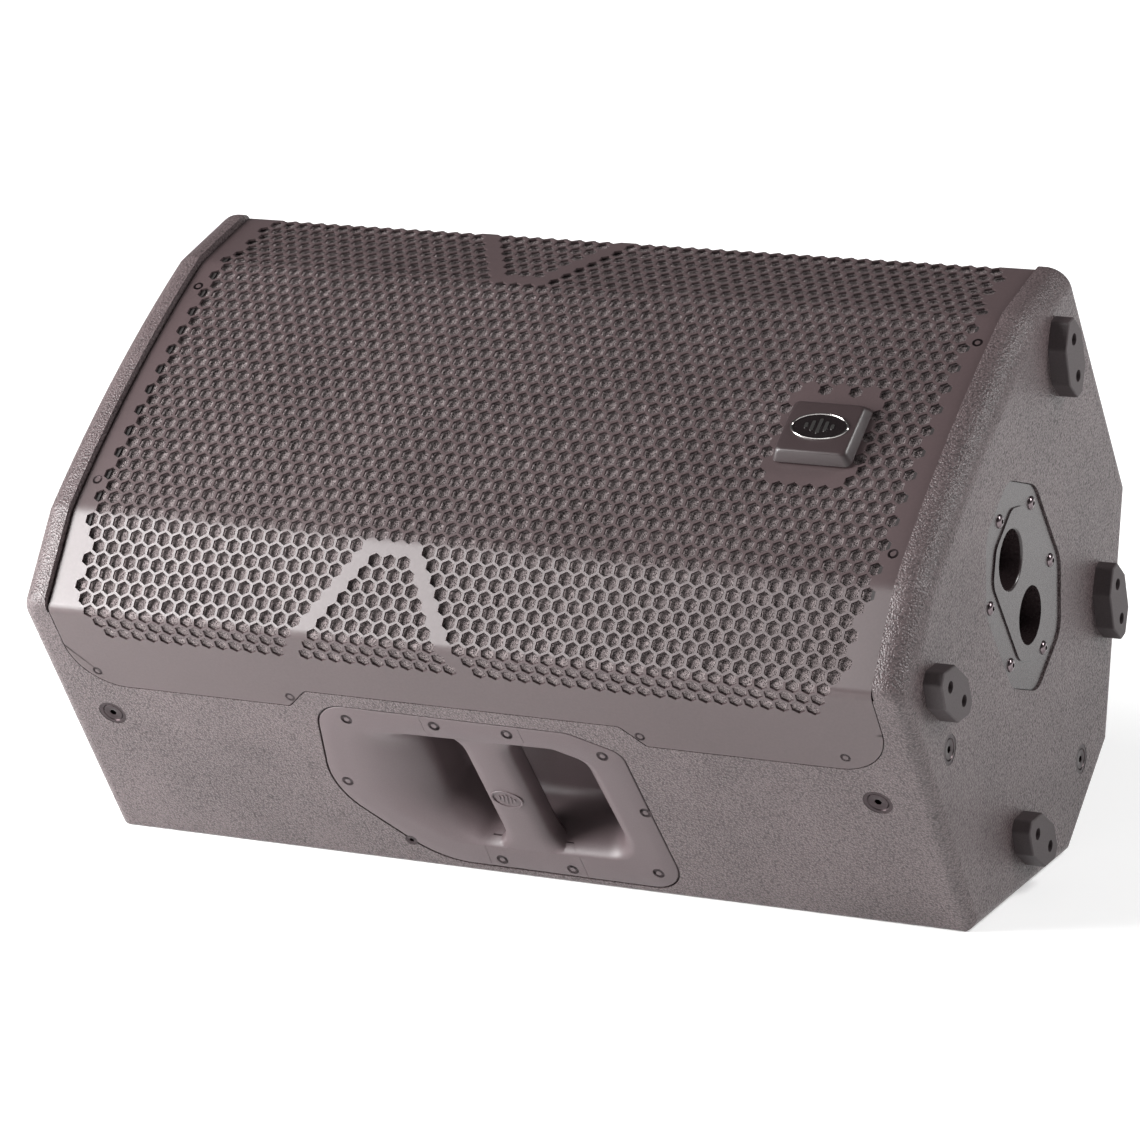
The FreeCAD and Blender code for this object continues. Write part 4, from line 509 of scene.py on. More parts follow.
class Tree:
    """A Geometry Nodes tree with named inputs, run once on an object and turned to a plain mesh."""

    def __init__(self, name: str) -> None:
        """Start a tree that passes one geometry."""
        self.tree = bpy.data.node_groups.new(name, "GeometryNodeTree")
        self.sockets: dict[str, str] = {}
        self.tree.interface.new_socket("Geometry", in_out="INPUT", socket_type="NodeSocketGeometry")
        self.tree.interface.new_socket("Geometry", in_out="OUTPUT", socket_type="NodeSocketGeometry")
        self.inside = self.tree.nodes.new("NodeGroupInput")
        self.outside = self.tree.nodes.new("NodeGroupOutput")

    def input(self, name: str, kind: str = "NodeSocketFloat") -> bpy.types.NodeSocket:
        """Add a named input and return the socket that it feeds."""
        socket = self.tree.interface.new_socket(name, in_out="INPUT", socket_type=kind)
        self.sockets[name] = socket.identifier
        return self.inside.outputs[name]

    def add(self, kind: str, links: Optional[dict] = None, **settings) -> bpy.types.Node:
        """Add one node to the tree."""
        return add_node(self.tree, kind, links, **settings)

    def finish(self, geometry: bpy.types.NodeSocket, finish: Finish) -> None:
        """End the tree in Realize Instances and Set Material."""
        real = self.add("GeometryNodeRealizeInstances", {"Geometry": geometry})
        dressed = self.add("GeometryNodeSetMaterial", {"Geometry": real.outputs["Geometry"],
                                                       "Material": finish.material()})
        self.tree.links.new(dressed.outputs["Geometry"], self.outside.inputs["Geometry"])

    def run(self, source: bpy.types.Mesh, values: dict) -> bpy.types.Mesh:
        """Run the tree on a mesh with these input values and return the plain result."""
        holder = scratch(source)
        modifier = holder.modifiers.new("nodes", "NODES")
        modifier.node_group = self.tree
        for name, value in values.items():
            modifier[self.sockets[name]] = value
        return evaluated_mesh(holder)


# ---------------------------------------------------------------- grille

@dataclass
class FrontPath:
    """The line that the grille's outer face follows, by distance from the crown."""

    section: Section = SECTION
    fold_ease: float = 0.0045
    kink_ease: float = 0.004

    def __post_init__(self) -> None:
        """Work out the lengths of the bowed part and the wings."""
        radius = self.section.crown_radius
        self.crown_arc = radius * math.asin(self.section.kink_u / radius)
        self.fold_at = self.crown_arc + math.dist((self.section.kink_u, self.section.kink_w),
                                                  (self.section.half_front, 0.0))

    def sharp(self, along: float, upper: bool) -> Vector:
        """The point at a distance from the crown, with sharp corners, as (u, w)."""
        sec = self.section
        side = 1.0 if upper else -1.0
        if along <= self.crown_arc:
            angle = along / sec.crown_radius
            crown_w = sec.kink_w + sec.crown_rise
            return Vector((side * sec.crown_radius * math.sin(angle),
                           crown_w - sec.crown_radius * (1 - math.cos(angle))))
        kink = Vector((side * sec.kink_u, sec.kink_w))
        fold = Vector((side * sec.half_front, 0.0))
        if along <= self.fold_at:
            return kink + (fold - kink).normalized() * (along - self.crown_arc)
        beyond = Vector(sec.to_front(sec.back if upper else sec.floor_front))
        return fold + (beyond - fold).normalized() * (along - self.fold_at)

    def point(self, along: float) -> Vector:
        """The point with its kinks and folds eased; positive is down towards the handle."""
        upper = along < 0
        reach = abs(along)
        for corner, ease in ((self.crown_arc, self.kink_ease), (self.fold_at, self.fold_ease)):
            if abs(reach - corner) < ease:
                share = (reach - corner + ease) / (2 * ease)
                a, b, c = (self.sharp(corner + k * ease, upper) for k in (-1, 0, 1))
                return a.lerp(b, share).lerp(b.lerp(c, share), share)
        return self.sharp(reach, upper)

    def frame(self, along: float) -> tuple[Vector, Vector]:
        """The point and the outward normal there, both as (u, w)."""
        step = 1e-4
        run = (self.point(along - step) - self.point(along + step)).normalized()
        return self.point(along), Vector((-run.y, run.x))


@dataclass
class PerforatedGrille:
    """A steel sheet with hexagonal holes, bowed over the front and folded down on both long sides."""

    pitch: float = 9.95 * MM
    hole_across: float = 8.35 * MM
    sheet: float = 1.5 * MM
    half_length: float = 278.5 * MM
    crown_row: int = -14
    last_row: int = 8
    flange_depth: float = 66 * MM
    flange_step: float = 51 * MM
    flange_corner: float = 34 * MM
    step_left: float = -112 * MM
    step_right: float = 104 * MM
    edge_round: float = 0.22 * MM
    path: FrontPath = field(default_factory=FrontPath)

    def is_open(self, row: int, column: float) -> bool:
        """Whether a cell of the lattice is a hole; rows count down the slope, columns along X."""
        mirrored = 2 * self.crown_row - row
        low = max(row, mirrored)
        if low > self.last_row or abs(column) > self.reach(low):
            return False
        if self.in_badge_patch(row, column):
            return False
        from_bar = low + 1
        if from_bar == 0:
            return not -6.5 <= column <= -3.5
        if from_bar > 0:
            step = (from_bar - 1) / 2
            return column not in (-7 - step, -3 + step)
        return True

    def reach(self, low: int) -> float:
        """How far the holes go along X in a row, in pitches."""
        shrink = {5: 25.5, 6: 25.0, 7: 24.5, 8: 24.0}
        if low in shrink:
            return shrink[low]
        return 26.0 if low >= 1 else 26.5

    def in_badge_patch(self, row: int, column: float) -> bool:
        """The plain patch under the badge, whose top row is plain in every second cell."""
        if -17 <= row <= -10:
            return 17.5 <= column <= 22.5
        return row == -18 and column in (18, 20, 22)

    def rows(self) -> range:
        """Every row of cells between the two flange seams."""
        margin = 2
        return range(2 * self.crown_row - self.last_row - margin, self.last_row + margin + 1)

    def lattice(self) -> bpy.types.Mesh:
        """One point for each cell, with whether it is open."""
        spots, flags = [], []
        columns = math.ceil(self.half_length / self.pitch) + 1
        for row in self.rows():
            offset = 0.5 if row % 2 else 0.0
            for k in range(-columns, columns + 1):
                column = k + offset
                spots.append((column * self.pitch, (row - self.crown_row) * self.row_step, 0.0))
                flags.append(self.is_open(row, column))
        mesh = bpy.data.meshes.new("lattice")
        mesh.from_pydata(spots, [], [])
        mesh.attributes.new("open", "BOOLEAN", "POINT").data.foreach_set("value", flags)
        return mesh

    @property
    def row_step(self) -> float:
        """Distance between two rows of holes."""
        return self.pitch * math.sqrt(3) / 2

    def cells(self) -> bpy.types.Mesh:
        """The flat sheet as hexagonal cells, punched where the lattice says so."""
        tree = Tree("punched_cells")
        cell = tree.input("Cell Radius")
        hole = tree.input("Hole Share")
        flat = tree.add("GeometryNodeMeshCircle", {"Vertices": 6, "Radius": cell}, fill_type="NGON")
        turn = tree.add("GeometryNodeTransform", {"Geometry": flat.outputs["Mesh"],
                                                  "Rotation": (0.0, 0.0, math.radians(30))})
        whole = turn.outputs["Geometry"]
        raised = tree.add("GeometryNodeExtrudeMesh", {"Mesh": whole, "Offset Scale": 0.0}, mode="FACES")
        shrunk = tree.add("GeometryNodeScaleElements", {"Geometry": raised.outputs["Mesh"],
                                                        "Selection": raised.outputs["Top"], "Scale": hole})
        ring = tree.add("GeometryNodeDeleteGeometry", {"Geometry": shrunk.outputs["Geometry"],
                                                       "Selection": raised.outputs["Top"]}, domain="FACE")
        punched = tree.add("GeometryNodeInputNamedAttribute", {"Name": "open"}, data_type="BOOLEAN")
        plain = tree.add("FunctionNodeBooleanMath", {0: punched.outputs["Attribute"]}, operation="NOT")
        points = tree.inside.outputs["Geometry"]
        holes = tree.add("GeometryNodeInstanceOnPoints", {
            "Points": points, "Instance": ring.outputs["Geometry"],
            "Selection": punched.outputs["Attribute"]})
        solids = tree.add("GeometryNodeInstanceOnPoints", {
            "Points": points, "Instance": whole, "Selection": plain.outputs[0]})
        both = tree.add("GeometryNodeJoinGeometry")
        tree.tree.links.new(holes.outputs["Instances"], both.inputs[0])
        tree.tree.links.new(solids.outputs["Instances"], both.inputs[0])
        tree.finish(both.outputs[0], Finishes.grille)
        cell_radius = self.pitch / math.sqrt(3)
        return tree.run(self.lattice(), {"Cell Radius": cell_radius,
                                         "Hole Share": self.hole_across / self.pitch})

    def trimmed(self) -> bmesh.types.BMesh:
        """The flat sheet, welded, cut to its length and given both flanges."""
        build = bmesh.new()
        build.from_mesh(self.cells())
        bmesh.ops.remove_doubles(build, verts=build.verts, dist=0.05 * MM)
        rows = self.rows()
        seam_low = (rows[-1] - self.crown_row) * self.row_step
        seam_high = (rows[0] - self.crown_row) * self.row_step
        for spot, normal in (((self.half_length, 0, 0), (1, 0, 0)), ((-self.half_length, 0, 0), (-1, 0, 0)),
                             ((0, seam_low, 0), (0, 1, 0)), ((0, seam_high, 0), (0, -1, 0))):
            geometry = list(build.verts) + list(build.edges) + list(build.faces)
            bmesh.ops.bisect_plane(build, geom=geometry, dist=1e-7, plane_co=spot, plane_no=normal,
                                   clear_outer=True)
        for along in self.bend_lines():
            geometry = list(build.verts) + list(build.edges) + list(build.faces)
            bmesh.ops.bisect_plane(build, geom=geometry, dist=1e-7, plane_co=(0, along, 0),
                                   plane_no=(0, 1, 0))
        self.add_flange(build, seam_low, 1.0, True)
        self.add_flange(build, seam_high, -1.0, False)
        build.normal_update()
        for face in build.faces:
            if face.normal.z > 0:
                face.normal_flip()
        return build

    def bend_lines(self) -> list[float]:
        """Where the flat sheet is cut across, so that it bends smoothly at its kinks and folds."""
        lines = []
        for corner, ease, parts in ((self.path.crown_arc, self.path.kink_ease, 2),
                                    (self.path.fold_at, self.path.fold_ease, 4)):
            for k in range(-parts, parts + 1):
                at = corner + ease * k / parts
                lines += [at, -at]
        return lines

    def add_flange(self, build: bmesh.types.BMesh, seam: float, side: float, stepped: bool) -> None:
        """Close the sheet beyond a seam with one plain face that has the flange's outline."""
        line = sorted((v for v in build.verts if abs(v.co.y - seam) < 1e-6 and v.is_boundary),
                      key=lambda v: v.co.x)
        edge = side * (self.path.fold_at + self.flange_depth)
        half = self.half_length
        outline = [(half, seam, 0.0), (half, edge, self.flange_corner)]
        if stepped:
            rise = side * (self.flange_depth - self.flange_step)
            outline += [(self.step_right - rise * -1, edge, 3 * MM), (self.step_right, edge - rise, 6 * MM),
                        (self.step_left, edge - rise, 6 * MM), (self.step_left - rise, edge, 3 * MM)]
        outline += [(-half, edge, self.flange_corner), (-half, seam, 0.0)]
        points = rounded_outline(outline)[1:-1]
        plain = [build.faces.new(line + [build.verts.new((p.x, p.y, 0.0)) for p in points])]
        for k in range(-5, 6):
            geometry = {g for face in plain for g in [face, *face.edges, *face.verts]}
            split = bmesh.ops.bisect_plane(build, geom=list(geometry), dist=1e-7,
                                           plane_co=(k * self.half_length / 6, 0, 0), plane_no=(1, 0, 0))
            plain = [g for g in split["geom"] if isinstance(g, bmesh.types.BMFace)]
        bmesh.ops.triangulate(build, faces=plain, ngon_method="BEAUTY")

    def build(self) -> bpy.types.Object:
        """Bend the sheet over the front and give it its thickness."""
        build = self.trimmed()
        for vert in build.verts:
            spot, _ = self.path.frame(vert.co.y)
            vert.co = Vector((vert.co.x, spot.x, spot.y))
        holder = scratch(mesh_from(build, "grille_skin", SECTION.front()))
        wall = holder.modifiers.new("thickness", "SOLIDIFY")
        wall.thickness = self.sheet
        wall.offset = -1.0
        wall.use_even_offset = True
        edge = holder.modifiers.new("edges", "BEVEL")
        edge.width = self.edge_round
        edge.segments = 1
        edge.limit_method = "ANGLE"
        edge.angle_limit = math.radians(60)
        return piece("grille_sheet", evaluated_mesh(holder), Finishes.grille, "root", ["grille"], 25)


@dataclass
class FoamLiner:
    """The sheet of open-cell foam that is glued behind the perforated steel."""

    half_length: float = 272 * MM
    gap: float = 2.9 * MM
    thick: float = 3 * MM
    past_fold: float = 24 * MM
    step: float = 4 * MM
    path: FrontPath = field(default_factory=FrontPath)

    def build(self) -> bpy.types.Object:
        """Lay a strip along the front's path and thicken it inwards."""
        reach = self.path.fold_at + self.past_fold
        count = round(2 * reach / self.step)
        rows = []
        for k in range(count + 1):
            along = -reach + 2 * reach * k / count
            spot, out = self.path.frame(along)
            near = min(1.0, max(0.0, (abs(along) - self.path.fold_at + 12 * MM) / (12 * MM)))
            rows.append((along, spot - out * (self.gap + (1.55 * MM - self.gap) * near)))
        build = bmesh.new()
        lines = [[build.verts.new((x, spot.x, spot.y)) for x in (-self.half_length, 0.0, self.half_length)]
                 for _, spot in rows]
        for first, second in zip(lines, lines[1:]):
            for i in range(2):
                build.faces.new((first[i], first[i + 1], second[i + 1], second[i]))
        build.normal_update()
        if sum(f.normal.z for f in build.faces) < 0:
            bmesh.ops.reverse_faces(build, faces=build.faces)
        holder = scratch(mesh_from(build, "foam", SECTION.front()))
        wall = holder.modifiers.new("thickness", "SOLIDIFY")
        wall.thickness = self.thick
        wall.offset = -1.0
        return piece("foam_liner", evaluated_mesh(holder), Finishes.foam, "root", ["grille_foam"], 40)


# ---------------------------------------------------------------- badge

@dataclass
class Badge:
    """A turning badge: a soft-edged moulded tile with an oval enamel inlay in a bright ring."""

    half_wide: float = 25.8 * MM
    half_tall: float = 23.4 * MM
    off_centre: float = -2.2 * MM
    height: float = 7.6 * MM
    fall: float = 0.045
    taper: float = 2.4 * MM
    oval_half: float = 18.8 * MM
    oval_ratio: float = 0.56
    corner: float = 4.0 * MM

    def place(self) -> Matrix:
        """x along the cabinet, z out of the crown, with the origin under the tile."""
        joint = next(j for j in frame["joints"] if j["name"] == "badge_turn")
        low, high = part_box("badge_pivot")
        at = SECTION.front().inverted() @ Vector(joint["pos_m"])
        base = at.z + 0.8 * MM
        middle_x = (low.x + high.x) / 2 - SECTION.shift
        return SECTION.front() @ Matrix.Translation((middle_x, at.y + self.off_centre, base))

    def leaning(self) -> Matrix:
        """The place of everything on the tile's top, which falls away up the slope."""
        return self.place() @ Matrix.Rotation(-math.atan(self.fall), 4, "X")

    def ring(self, shrink: float, height: float, corner: float) -> list[Vector]:
        """A ring of the tile: its rounded outline pulled in by shrink, lower up the slope."""
        wide, tall = self.half_wide - shrink, self.half_tall - shrink
        corners = [(-wide, -tall, corner), (wide, -tall, corner), (wide, tall, corner), (-wide, tall, corner)]
        return [Vector((p.x, p.y, height - self.fall * p.y * height / self.height))
                for p in rounded_outline(corners, 6)]

    def tile(self) -> bpy.types.Object:
        """Tapered sides, a rounded shoulder and a slightly crowned top."""
        top = self.height
        rings = [self.ring(3.0 * MM, 0.0, 2 * MM), self.ring(0.4 * MM, 0.0, self.corner),
                 self.ring(0.0, 0.5 * MM, self.corner), self.ring(self.taper * 0.8, top - 2.6 * MM, self.corner)]
        for k in range(1, 7):
            angle = math.radians(90 * k / 6)
            rings.append(self.ring(self.taper + 2.4 * MM * (1 - math.cos(angle)),
                                   top - 2.2 * MM + 1.8 * MM * math.sin(angle), self.corner))
        for share in (0.25, 0.5, 0.75):
            rings.append([Vector((p.x * (1 - share), p.y * (1 - share),
                                  p.z + self.fall * p.y * share + 0.4 * MM * share)) for p in rings[9]])
        build = bmesh.new()
        skin_rings(build, rings, True)
        bmesh.ops.holes_fill(build, edges=[e for e in build.edges if e.is_boundary], sides=0)
        bmesh.ops.recalc_face_normals(build, faces=build.faces)
        return piece("badge_soft_tile", mesh_from(build, "badge_soft_tile", self.place()), Finishes.badge,
                     "badge", ["badge_tile"], 50)

    def inlay(self) -> None:
        """A bright oval ring, the enamel field inside it and three rising bars as a plain mark."""
        top = self.height - 0.1 * MM
        ring = bmesh.new()
        wide = 1.5 * MM
        a = self.oval_half
        turned(ring, [(a - wide, top - 0.6 * MM), (a - wide, top + 0.5 * MM), (a - wide * 0.7, top + 0.8 * MM),
                      (a - wide * 0.3, top + 0.8 * MM), (a, top + 0.3 * MM), (a, top - 0.6 * MM)],
               72, self.oval_ratio)
        piece("badge_ring", mesh_from(ring, "badge_ring", self.leaning()), Finishes.chrome, "badge",
              ["badge_emblem"], 60)
        enamel = bmesh.new()
        turned(enamel, [(0.0, top - 0.5 * MM), (a - 1.2 * MM, top - 0.5 * MM), (a - 1.2 * MM, top + 0.25 * MM),
                        (a * 0.6, top + 0.4 * MM), (0.0, top + 0.45 * MM)], 72, self.oval_ratio)
        piece("badge_enamel", mesh_from(enamel, "badge_enamel", self.leaning()), Finishes.enamel, "badge")
        marks = bmesh.new()
        for k, (x, tall) in enumerate(((-8.5, 4.0), (-4.3, 8.0), (0.0, 12.0), (4.3, 8.0), (8.5, 4.0))):
            bar = [(x - 1.1, -tall / 2, 0.9), (x + 1.1, -tall / 2, 0.9), (x + 1.1, tall / 2, 0.9),
                   (x - 1.1, tall / 2, 0.9)]
            solid = prism(rounded_outline([tuple(v * MM for v in c) for c in bar], 4), top, top + 0.8 * MM)
            kept = mesh_from(solid, "bar")
            marks.from_mesh(kept)
            bpy.data.meshes.remove(kept)
        piece("badge_bars", mesh_from(marks, "badge_bars", self.leaning()), Finishes.chrome, "badge")

    def build(self) -> None:
        """Make the tile and its inlay."""
        self.tile()
        self.inlay()


# ---------------------------------------------------------------- handle

@dataclass
class Handle:
    """A moulded cup with flared sides, and the grip that crosses it between two seams."""

    rings: int = 288
    centre: Point = (-5 * MM, 130 * MM)
    wall: float = 3.0 * MM
    flare_depth: float = 26 * MM
    depth: float = 46 * MM
    seam: float = 0.45 * MM
    rim: tuple = ((-108, 62, 22), (66, 63, 10), (99, 76, 12), (112, 198, 20), (-60, 197, 60), (-121, 140, 45))
    mouth: tuple = ((-95, 81, 14), (52, 78.5, 15), (78, 88, 15), (89, 177, 20), (-47, 180, 35),
                    (-101, 146, 38))
    throat: tuple = ((-52, 84, 9), (46, 81.5, 9), (62, 90, 12), (73, 171, 12), (-20, 173.5, 14),
                     (-48, 150, 20))
    tab: tuple = ((-36, 55, 0.5), (31, 55, 0.5), (33, 77, 3), (19, 86, 6), (27, 168, 6), (42, 177, 3),
                  (44, 205, 0.5), (-24, 205, 0.5), (-24, 177, 3), (-9, 168, 6), (-17, 86, 6), (-35, 77, 3))

    def outline(self, corners: tuple, grow: float = 0.0) -> list[Vector]:
        """An outline of the handle in metres, as seen from the cup's centre."""
        points = rounded_outline([tuple(v * MM for v in c) for c in corners], 10)
        seen = ray_outline(points, Vector(self.centre), self.rings)
        middle = Vector(self.centre)
        return [p + (p - middle).normalized() * grow for p in seen]

    def cup_skin(self) -> bpy.types.Mesh:
        """The cup as a closed moulding: flange, flared mouth, wall and floor, with its wall behind."""
        rim = self.outline(self.rim, -0.5 * MM)
        mouth = self.outline(self.mouth)
        throat = self.outline(self.throat)
        rings = [[Vector((p.x, p.y, 2.6 * MM)) for p in rim], [Vector((p.x, p.y, 0.7 * MM)) for p in rim]]
        for k in range(1, 4):
            angle = math.radians(30 * k)
            rings.append([Vector((*(p + (m - p).normalized() * 0.7 * MM * (1 - math.cos(angle))),
                                  0.7 * MM * (1 - math.sin(angle)))) for p, m in zip(rim, mouth)])
        rings.append([Vector((*p.lerp(m, 0.5), 0.0)) for p, m in zip(rim, mouth)])
        count = 16
        for k in range(count + 1):
            angle = math.radians(90 * k / count)
            rings.append([Vector((*m.lerp(t, math.sin(angle)), self.flare_depth * (1 - math.cos(angle))))
                          for m, t in zip(mouth, throat)])
        middle = Vector(self.centre)
        blend = 9 * MM
        for k in range(0, 7):
            angle = math.radians(90 * k / 6)
            inward = 2.5 * MM + blend * (1 - math.cos(angle))
            deep = self.depth - blend + blend * math.sin(angle)
            rings.append([Vector((*(t + (middle - t).normalized() * inward), deep)) for t in throat])
        for share in (0.3, 0.6, 0.85):
            rings.append([Vector((*Vector(v[:2]).lerp(middle, share), self.depth)) for v in rings[-1]])
        build = bmesh.new()
        skin_rings(build, rings, True)
        bmesh.ops.recalc_face_normals(build, faces=build.faces)
        if sum(f.normal.z * f.calc_area() for f in build.faces) > 0:
            bmesh.ops.reverse_faces(build, faces=build.faces)
        holder = scratch(mesh_from(build, "cup_skin"))
        wall = holder.modifiers.new("wall", "SOLIDIFY")
        wall.thickness = self.wall
        wall.offset = -1.0
        return evaluated_mesh(holder)

    def bar(self) -> bpy.types.Mesh:
        """The grip's bar: a rounded section that leans a little and swells into both tabs."""
        rings = []
        count = 40
        around = 32
        for i in range(count + 1):
            share = i / count
            t = (66 + (190 - 66) * share) * MM
            lean = (1.0 + 8.0 * (t / MM - 84) / 86) * MM
            end = min(t / MM - 66, 190 - t / MM)
            swell = 15.0 * math.exp(-((end - 6) / 10.0) ** 2) if end < 30 else 0.0
            swell = swell if end > 6 else 15.0
            half = (16.0 + swell) * MM
            deep = (21.0 - 17.5 * math.exp(-(max(end - 4, 0) / 9.0) ** 2)) * MM
            ring = []
            for k in range(around):
                angle = 2 * math.pi * k / around
                ring.append(Vector((lean + half * self.squircle(math.cos(angle)),
                                    t, deep / 2 + 0.02 * MM + deep / 2 * self.squircle(math.sin(angle)))))
            rings.append(ring)
        build = bmesh.new()
        skin_rings(build, rings, False)
        bmesh.ops.holes_fill(build, edges=[e for e in build.edges if e.is_boundary], sides=0)
        bmesh.ops.recalc_face_normals(build, faces=build.faces)
        return mesh_from(build, "grip_bar")

    @staticmethod
    def squircle(value: float, power: float = 0.55) -> float:
        """Push a sine or cosine outwards, which turns a circle into a soft square."""
        return math.copysign(abs(value) ** power, value)

    def build(self) -> None:
        """Split the moulding along its seams into the cup and the grip."""
        skin = self.cup_skin()
        points = rounded_outline([tuple(v * MM for v in c) for c in self.tab], 6)
        inner = mesh_from(prism(points, -2 * MM, 7 * MM), "tab_room")
        grown = [p + (p - sum(points, Vector((0, 0))) / len(points)).normalized() * self.seam for p in points]
        outer = mesh_from(prism(grown, -3 * MM, 8 * MM), "seam_room")
        cup = combined(skin.copy(), outer, "DIFFERENCE")
        tabs = combined(skin, inner, "INTERSECT")
        grip = combined(tabs, self.bar(), "UNION")
        for mesh in (cup, grip):
            mesh.transform(SECTION.handle())
        piece("handle_moulding", cup, Finishes.moulding, "root", ["handle_cup"], 40)
        piece("handle_grip_moulding", grip, Finishes.moulding, "root", ["handle_grip"], 40)
        self.emblem()

    def emblem(self) -> None:
        """A raised oval on the grip with three plain bars in it."""
        place = SECTION.handle() @ Matrix.Translation((5.5 * MM, 131 * MM, 0.0)) @ Matrix.Rotation(
            math.pi, 4, "X") @ Matrix.Rotation(math.radians(-8), 4, "Z")
        build = bmesh.new()
        turned(build, [(9.6 * MM, -0.6 * MM), (9.6 * MM, 0.3 * MM), (10.0 * MM, 0.5 * MM), (10.6 * MM, 0.5 * MM),
                       (11.0 * MM, 0.2 * MM), (11.0 * MM, -0.6 * MM)], 64, 0.66)
        for x, tall in ((-5.2, 3.4), (-2.6, 6.0), (0.0, 8.4), (2.6, 6.0), (5.2, 3.4)):
            bar = [(x - 0.7, -tall / 2, 0.5), (x + 0.7, -tall / 2, 0.5), (x + 0.7, tall / 2, 0.5),
                   (x - 0.7, tall / 2, 0.5)]
            solid = prism(rounded_outline([tuple(v * MM for v in c) for c in bar], 3), -0.6 * MM, 0.4 * MM)
            kept = mesh_from(solid, "bar")
            build.from_mesh(kept)
            bpy.data.meshes.remove(kept)
        piece("grip_mark", mesh_from(build, "grip_mark", place), Finishes.moulding, "root")


# ---------------------------------------------------------------- screws

class Head(Enum):
    """How a screw's head is shaped."""

    FLAT = "countersunk"
    DOMED = "domed"


def out_of_handle(_: Vector) -> Vector:
    """Straight out of the handle board."""
    return -SECTION.handle().to_3x3().col[2]


def out_of_end(spot: Vector) -> Vector:
    """Straight out of the end board that is nearer to the spot."""
    return Vector((math.copysign(1.0, spot.x), 0, 0))


def out_of_plug(spot: Vector) -> Vector:
    """Out of an end board or out of the handle board, whichever holds the plug."""
    low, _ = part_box("end_board_right")
    inside = abs(spot.x - SECTION.shift) < low.x - SECTION.shift
    return out_of_handle(spot) if inside else out_of_end(spot)


def out_of_grille(spot: Vector) -> Vector:
    """Out of the bowed front, or out of its lower flange."""
    local = SECTION.front().inverted() @ spot
    if local.z < 0:
        return out_of_handle(spot)
    _, out = FrontPath().frame(-local.y)
    return SECTION.front().to_3x3() @ Vector((0, out.x, out.y))


def out_of_panel(_: Vector) -> Vector:
    """Straight out of the amplifier panel."""
    return -SECTION.board(SECTION.floor_rear, SECTION.rear_high).to_3x3().col[2]


